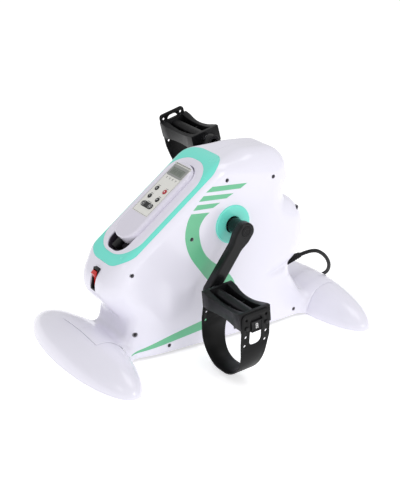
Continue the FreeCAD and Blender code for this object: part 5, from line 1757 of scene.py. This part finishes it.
    def _lead(self) -> None:
        """Plug and lead in the notch, and a dark cup that paints the shade inside the notch."""
        console = self.console
        half, low, high, corner = console.notch
        outline = console.rounded(half - 0.15, low + 0.15, high, corner, 0.0, 6.0)
        floor, top = console.notch_floor, -1.6
        rings = []
        for inset, w in ((0.0, floor + 0.1), (0.0, top), (1.1, top), (1.1, floor + 1.4)):
            loop = outline.loop(inset)
            rings.append(np.column_stack([loop, np.full(len(loop), w)]))
        # A thin dark cup in the notch: painted shade, standing in for the shade inside the notch.
        cup = solid(facing_out(stacked(rings)), "notch_shade_cup")
        carve(cup, slab(console.rounded(*console.handset, 0.4), console.pocket - 0.4, 30.0))
        carve(cup, box_shape((-60.0, console.handset[1] + 12.0, -60.0), (60.0, 200.0, 60.0)))
        cup.data.transform(self._metres())
        dress(cup, Finishes.NOTCH_SHADE, "base")
        softened("lead_plug", "lead_socket", 0.8, Finishes.BLACK, self.body)
        ribs = []
        for k in range(4):
            ring = upright([(-0.8, 3.1), (-0.5, 3.5), (0.5, 3.5), (0.8, 3.1)], 24)
            ribs.append(ring.placed(moved((0.0, console.lead_v, -9.4 - 2.6 * k))).placed(console.out))
        piece("lead_collar", ribs[0].joined(*ribs[1:]), Finishes.BLACK, self.body)


# ---------------------------------------------------------------- cranks and pedals
@dataclass
class Cranks:
    """The two crank arms with their caps."""

    hub: Point2 = (15.9, 208.0)
    length: float = 110.0
    angle: float = 235.2
    big: float = 15.0
    small: float = 12.0
    waist: float = 10.5
    neck: float = 26.0
    inner: float = 90.0
    outer: float = 105.0
    boss: float = 13.0
    boss_low: float = 67.4
    cap: float = 10.0

    def tip(self, side: Side) -> Point2:
        """Y and Z of a pedal's axle."""
        angle = math.radians(self.angle + (0 if side is Side.RIGHT else 180))
        return (self.hub[0] + self.length * math.cos(angle), self.hub[1] + self.length * math.sin(angle))

    def _place(self, side: Side) -> Callable[[np.ndarray], np.ndarray]:
        """Carries arm coordinates (along, across, out) to the machine's frame."""
        tip = self.tip(side)
        along = np.array([0.0, tip[0] - self.hub[0], tip[1] - self.hub[1]]) / self.length
        across = np.array([0.0, -along[2], along[1]])
        out = np.array([float(side.value), 0.0, 0.0])
        hub = np.array([0.0, *self.hub])
        return lambda p: hub + p[:, :1] * along + p[:, 1:2] * across + p[:, 2:] * out

    def build(self) -> None:
        """Makes both arms and caps."""
        big, small, waist, neck, length = self.big, self.small, self.waist, self.neck, self.length
        outline = Outline([(-big, -big, big - 0.1), (neck * 0.5, -big, 14.0), (neck + 4.0, -waist, 30.0),
                           (length + small, -small + 0.6, small - 0.9),
                           (length + small, small - 0.6, small - 0.9), (neck + 4.0, waist, 30.0),
                           (neck * 0.5, big, 14.0), (-big, big, big - 0.1)], 6.0)
        for side in Side:
            arm = solid(slab(outline, self.inner, self.outer, 1.2, 2.6, 5), "crank_" + side.word)
            low = self.boss_low
            boss = [(low, self.boss - 0.8), (low + 0.8, self.boss), (self.inner + 2.0, self.boss)]
            carve(arm, upright(boss, 56), Cut.ADD)
            carve(arm, upright([(self.outer - 2.0, self.cap), (self.outer + 4.0, self.cap)], 48))
            self._carry(arm, side)
            dress(arm, Finishes.SATIN_BLACK, "crank", ["crank_arm_" + side.word])
            crown = [(self.outer - 2.4, self.cap - 0.12), (self.outer + 0.1, self.cap - 0.12)]
            crown += [(self.outer + 0.1 + 0.9 * math.sin(a), self.cap - 0.12 - 1.2 * (1 - math.cos(a)))
                      for a in np.linspace(0.2, math.pi / 2, 5)]
            crown += [(self.outer + 1.1, 5.4), (self.outer + 0.5, 4.6), (self.outer + 0.5, 0.6)]
            cap = solid(upright(crown, 48), "crank_cap_piece_" + side.word)
            self._carry(cap, side)
            dress(cap, Finishes.BLACK, "crank", ["crank_cap_" + side.word])

    def _carry(self, made: bpy.types.Object, side: Side) -> None:
        """Moves a finished arm mesh to its place and turns its faces out again if it was flipped."""
        count = len(made.data.vertices)
        points = np.zeros(count * 3)
        made.data.vertices.foreach_get("co", points)
        placed = self._place(side)(points.reshape(-1, 3) / MM) * MM
        made.data.vertices.foreach_set("co", placed.ravel())
        if side is Side.LEFT:
            made.data.flip_normals()
        made.data.update()


@dataclass
class Pedals:
    """Both pedals: the dipped frame, the strap loop, the pegs and the small foot mark."""

    cranks: Cranks
    tilt: dict[Side, float] = field(default_factory=lambda: {Side.RIGHT: 6.0, Side.LEFT: 15.0})
    outer: float = 225.0
    mark_height: float = 9.0
    strap_top: float = 14.0
    strap_swing: float = 0.22

    def build(self) -> None:
        """Makes the pedals from their nodes, with eased edges and a mark."""
        for side in Side:
            body = "pedal_" + side.word
            softened("pedal_body_" + side.word, "pedal_frame_" + side.word, 0.7, Finishes.BLACK, body)
            hang = self._hanging(side) if side is Side.RIGHT else None
            softened("pedal_strap_" + side.word, "strap_loop_" + side.word, 0.45, Finishes.STRAP, body,
                     place=hang)
            softened("pedal_pegs_" + side.word, "strap_pegs_" + side.word, 0.25, Finishes.SATIN_BLACK,
                     body)
            self._mark(side, body)

    def _hanging(self, side: Side) -> Callable[[np.ndarray], np.ndarray]:
        """Lets the strap's loop swing forwards below the frame, as it hangs."""
        level = self.cranks.tip(side)[1] - self.strap_top

        def swing(points: np.ndarray) -> np.ndarray:
            """Moves points forwards the lower they lie."""
            below = np.maximum(level - points[:, 2], 0.0)
            return points - np.outer(below * self.strap_swing, (0.0, 1.0, 0.0))
        return swing

    def _mark(self, side: Side, body: str) -> None:
        """Small L or R in the square recess of the outer plate."""
        tip = self.cranks.tip(side)
        half, high, thick = 2.1, self.mark_height / 2, 1.1
        bars = [(-half, -half + thick, -high, high)]
        if side is Side.LEFT:
            bars.append((-half, half, -high, -high + thick))
        else:
            bars += [(-half, half, high - thick, high), (half - thick, half, 0.2, high),
                     (-half, half, -0.4, -0.4 + thick), (half - thick, half, -high, -0.2)]
        flip = 1.0 if side is Side.RIGHT else -1.0
        shapes = []
        for y0, y1, z0, z1 in bars:
            ys = sorted((y0 * flip, y1 * flip))
            low, high_x = self.outer - 0.02, self.outer + 0.35
            shapes.append(box_shape((low, ys[0], z0 - 12.0), (high_x, ys[1], z1 - 12.0)))
        shape = shapes[0].joined(*shapes[1:]).on(side)
        turn = Matrix.Translation((0.0, *tip)) @ Matrix.Rotation(math.radians(self.tilt[side]), 4, "X")
        piece("pedal_mark_" + side.word, shape.placed(through(turn)), Finishes.WHITE_INK, body)


# ---------------------------------------------------------------- carried-over nodes
NODE_FINISHES = {
    "white_casing": Finishes.WHITE, "mint": Finishes.MINT, "cradle_white": Finishes.CRADLE,
    "label": Finishes.LABEL, "display": Finishes.LCD, "key_black": Finishes.KEY_BLACK,
    "key_red": Finishes.KEY_RED, "switch_black": Finishes.BLACK, "switch_red": Finishes.ROCKER,
    "black_plastic": Finishes.BLACK, "strap": Finishes.STRAP, "steel": Finishes.STEEL,
    "painted_steel": Finishes.PAINTED, "screw_steel": Finishes.SCREW_STEEL, "rubber": Finishes.RUBBER,
    "pulley": Finishes.PULLEY, "board_green": Finishes.BOARD, "aluminium": Finishes.ALUMINIUM,
    "motor_metal": Finishes.MOTOR, "brass": Finishes.BRASS, "cord": Finishes.CORD}


def dress_nodes() -> None:
    """Gives every CAD node that still shows its finish, by its slot in the record."""
    for part in frame["record"]["subparts"]:
        node = frame["nodes"][part["node"]]
        finish = NODE_FINISHES[part["material_slot"]]
        for slot in node.material_slots:
            slot.material = finish.material()
        if not node.material_slots:
            node.data.materials.append(finish.material())


def main() -> None:
    """Builds the studio and the machine, piece by piece."""
    logging.basicConfig(level=logging.INFO, format="%(message)s")
    Studio().build()
    dress_nodes()
    MainsLead().build()
    form = CasingForm()
    console = Console(form)
    Casing(form, console).build()
    PowerSwitch().build()
    Feet(form).build()
    Handset(console).build()
    cranks = Cranks()
    cranks.build()
    Pedals(cranks).build()


if __name__ == "__main__":
    main()
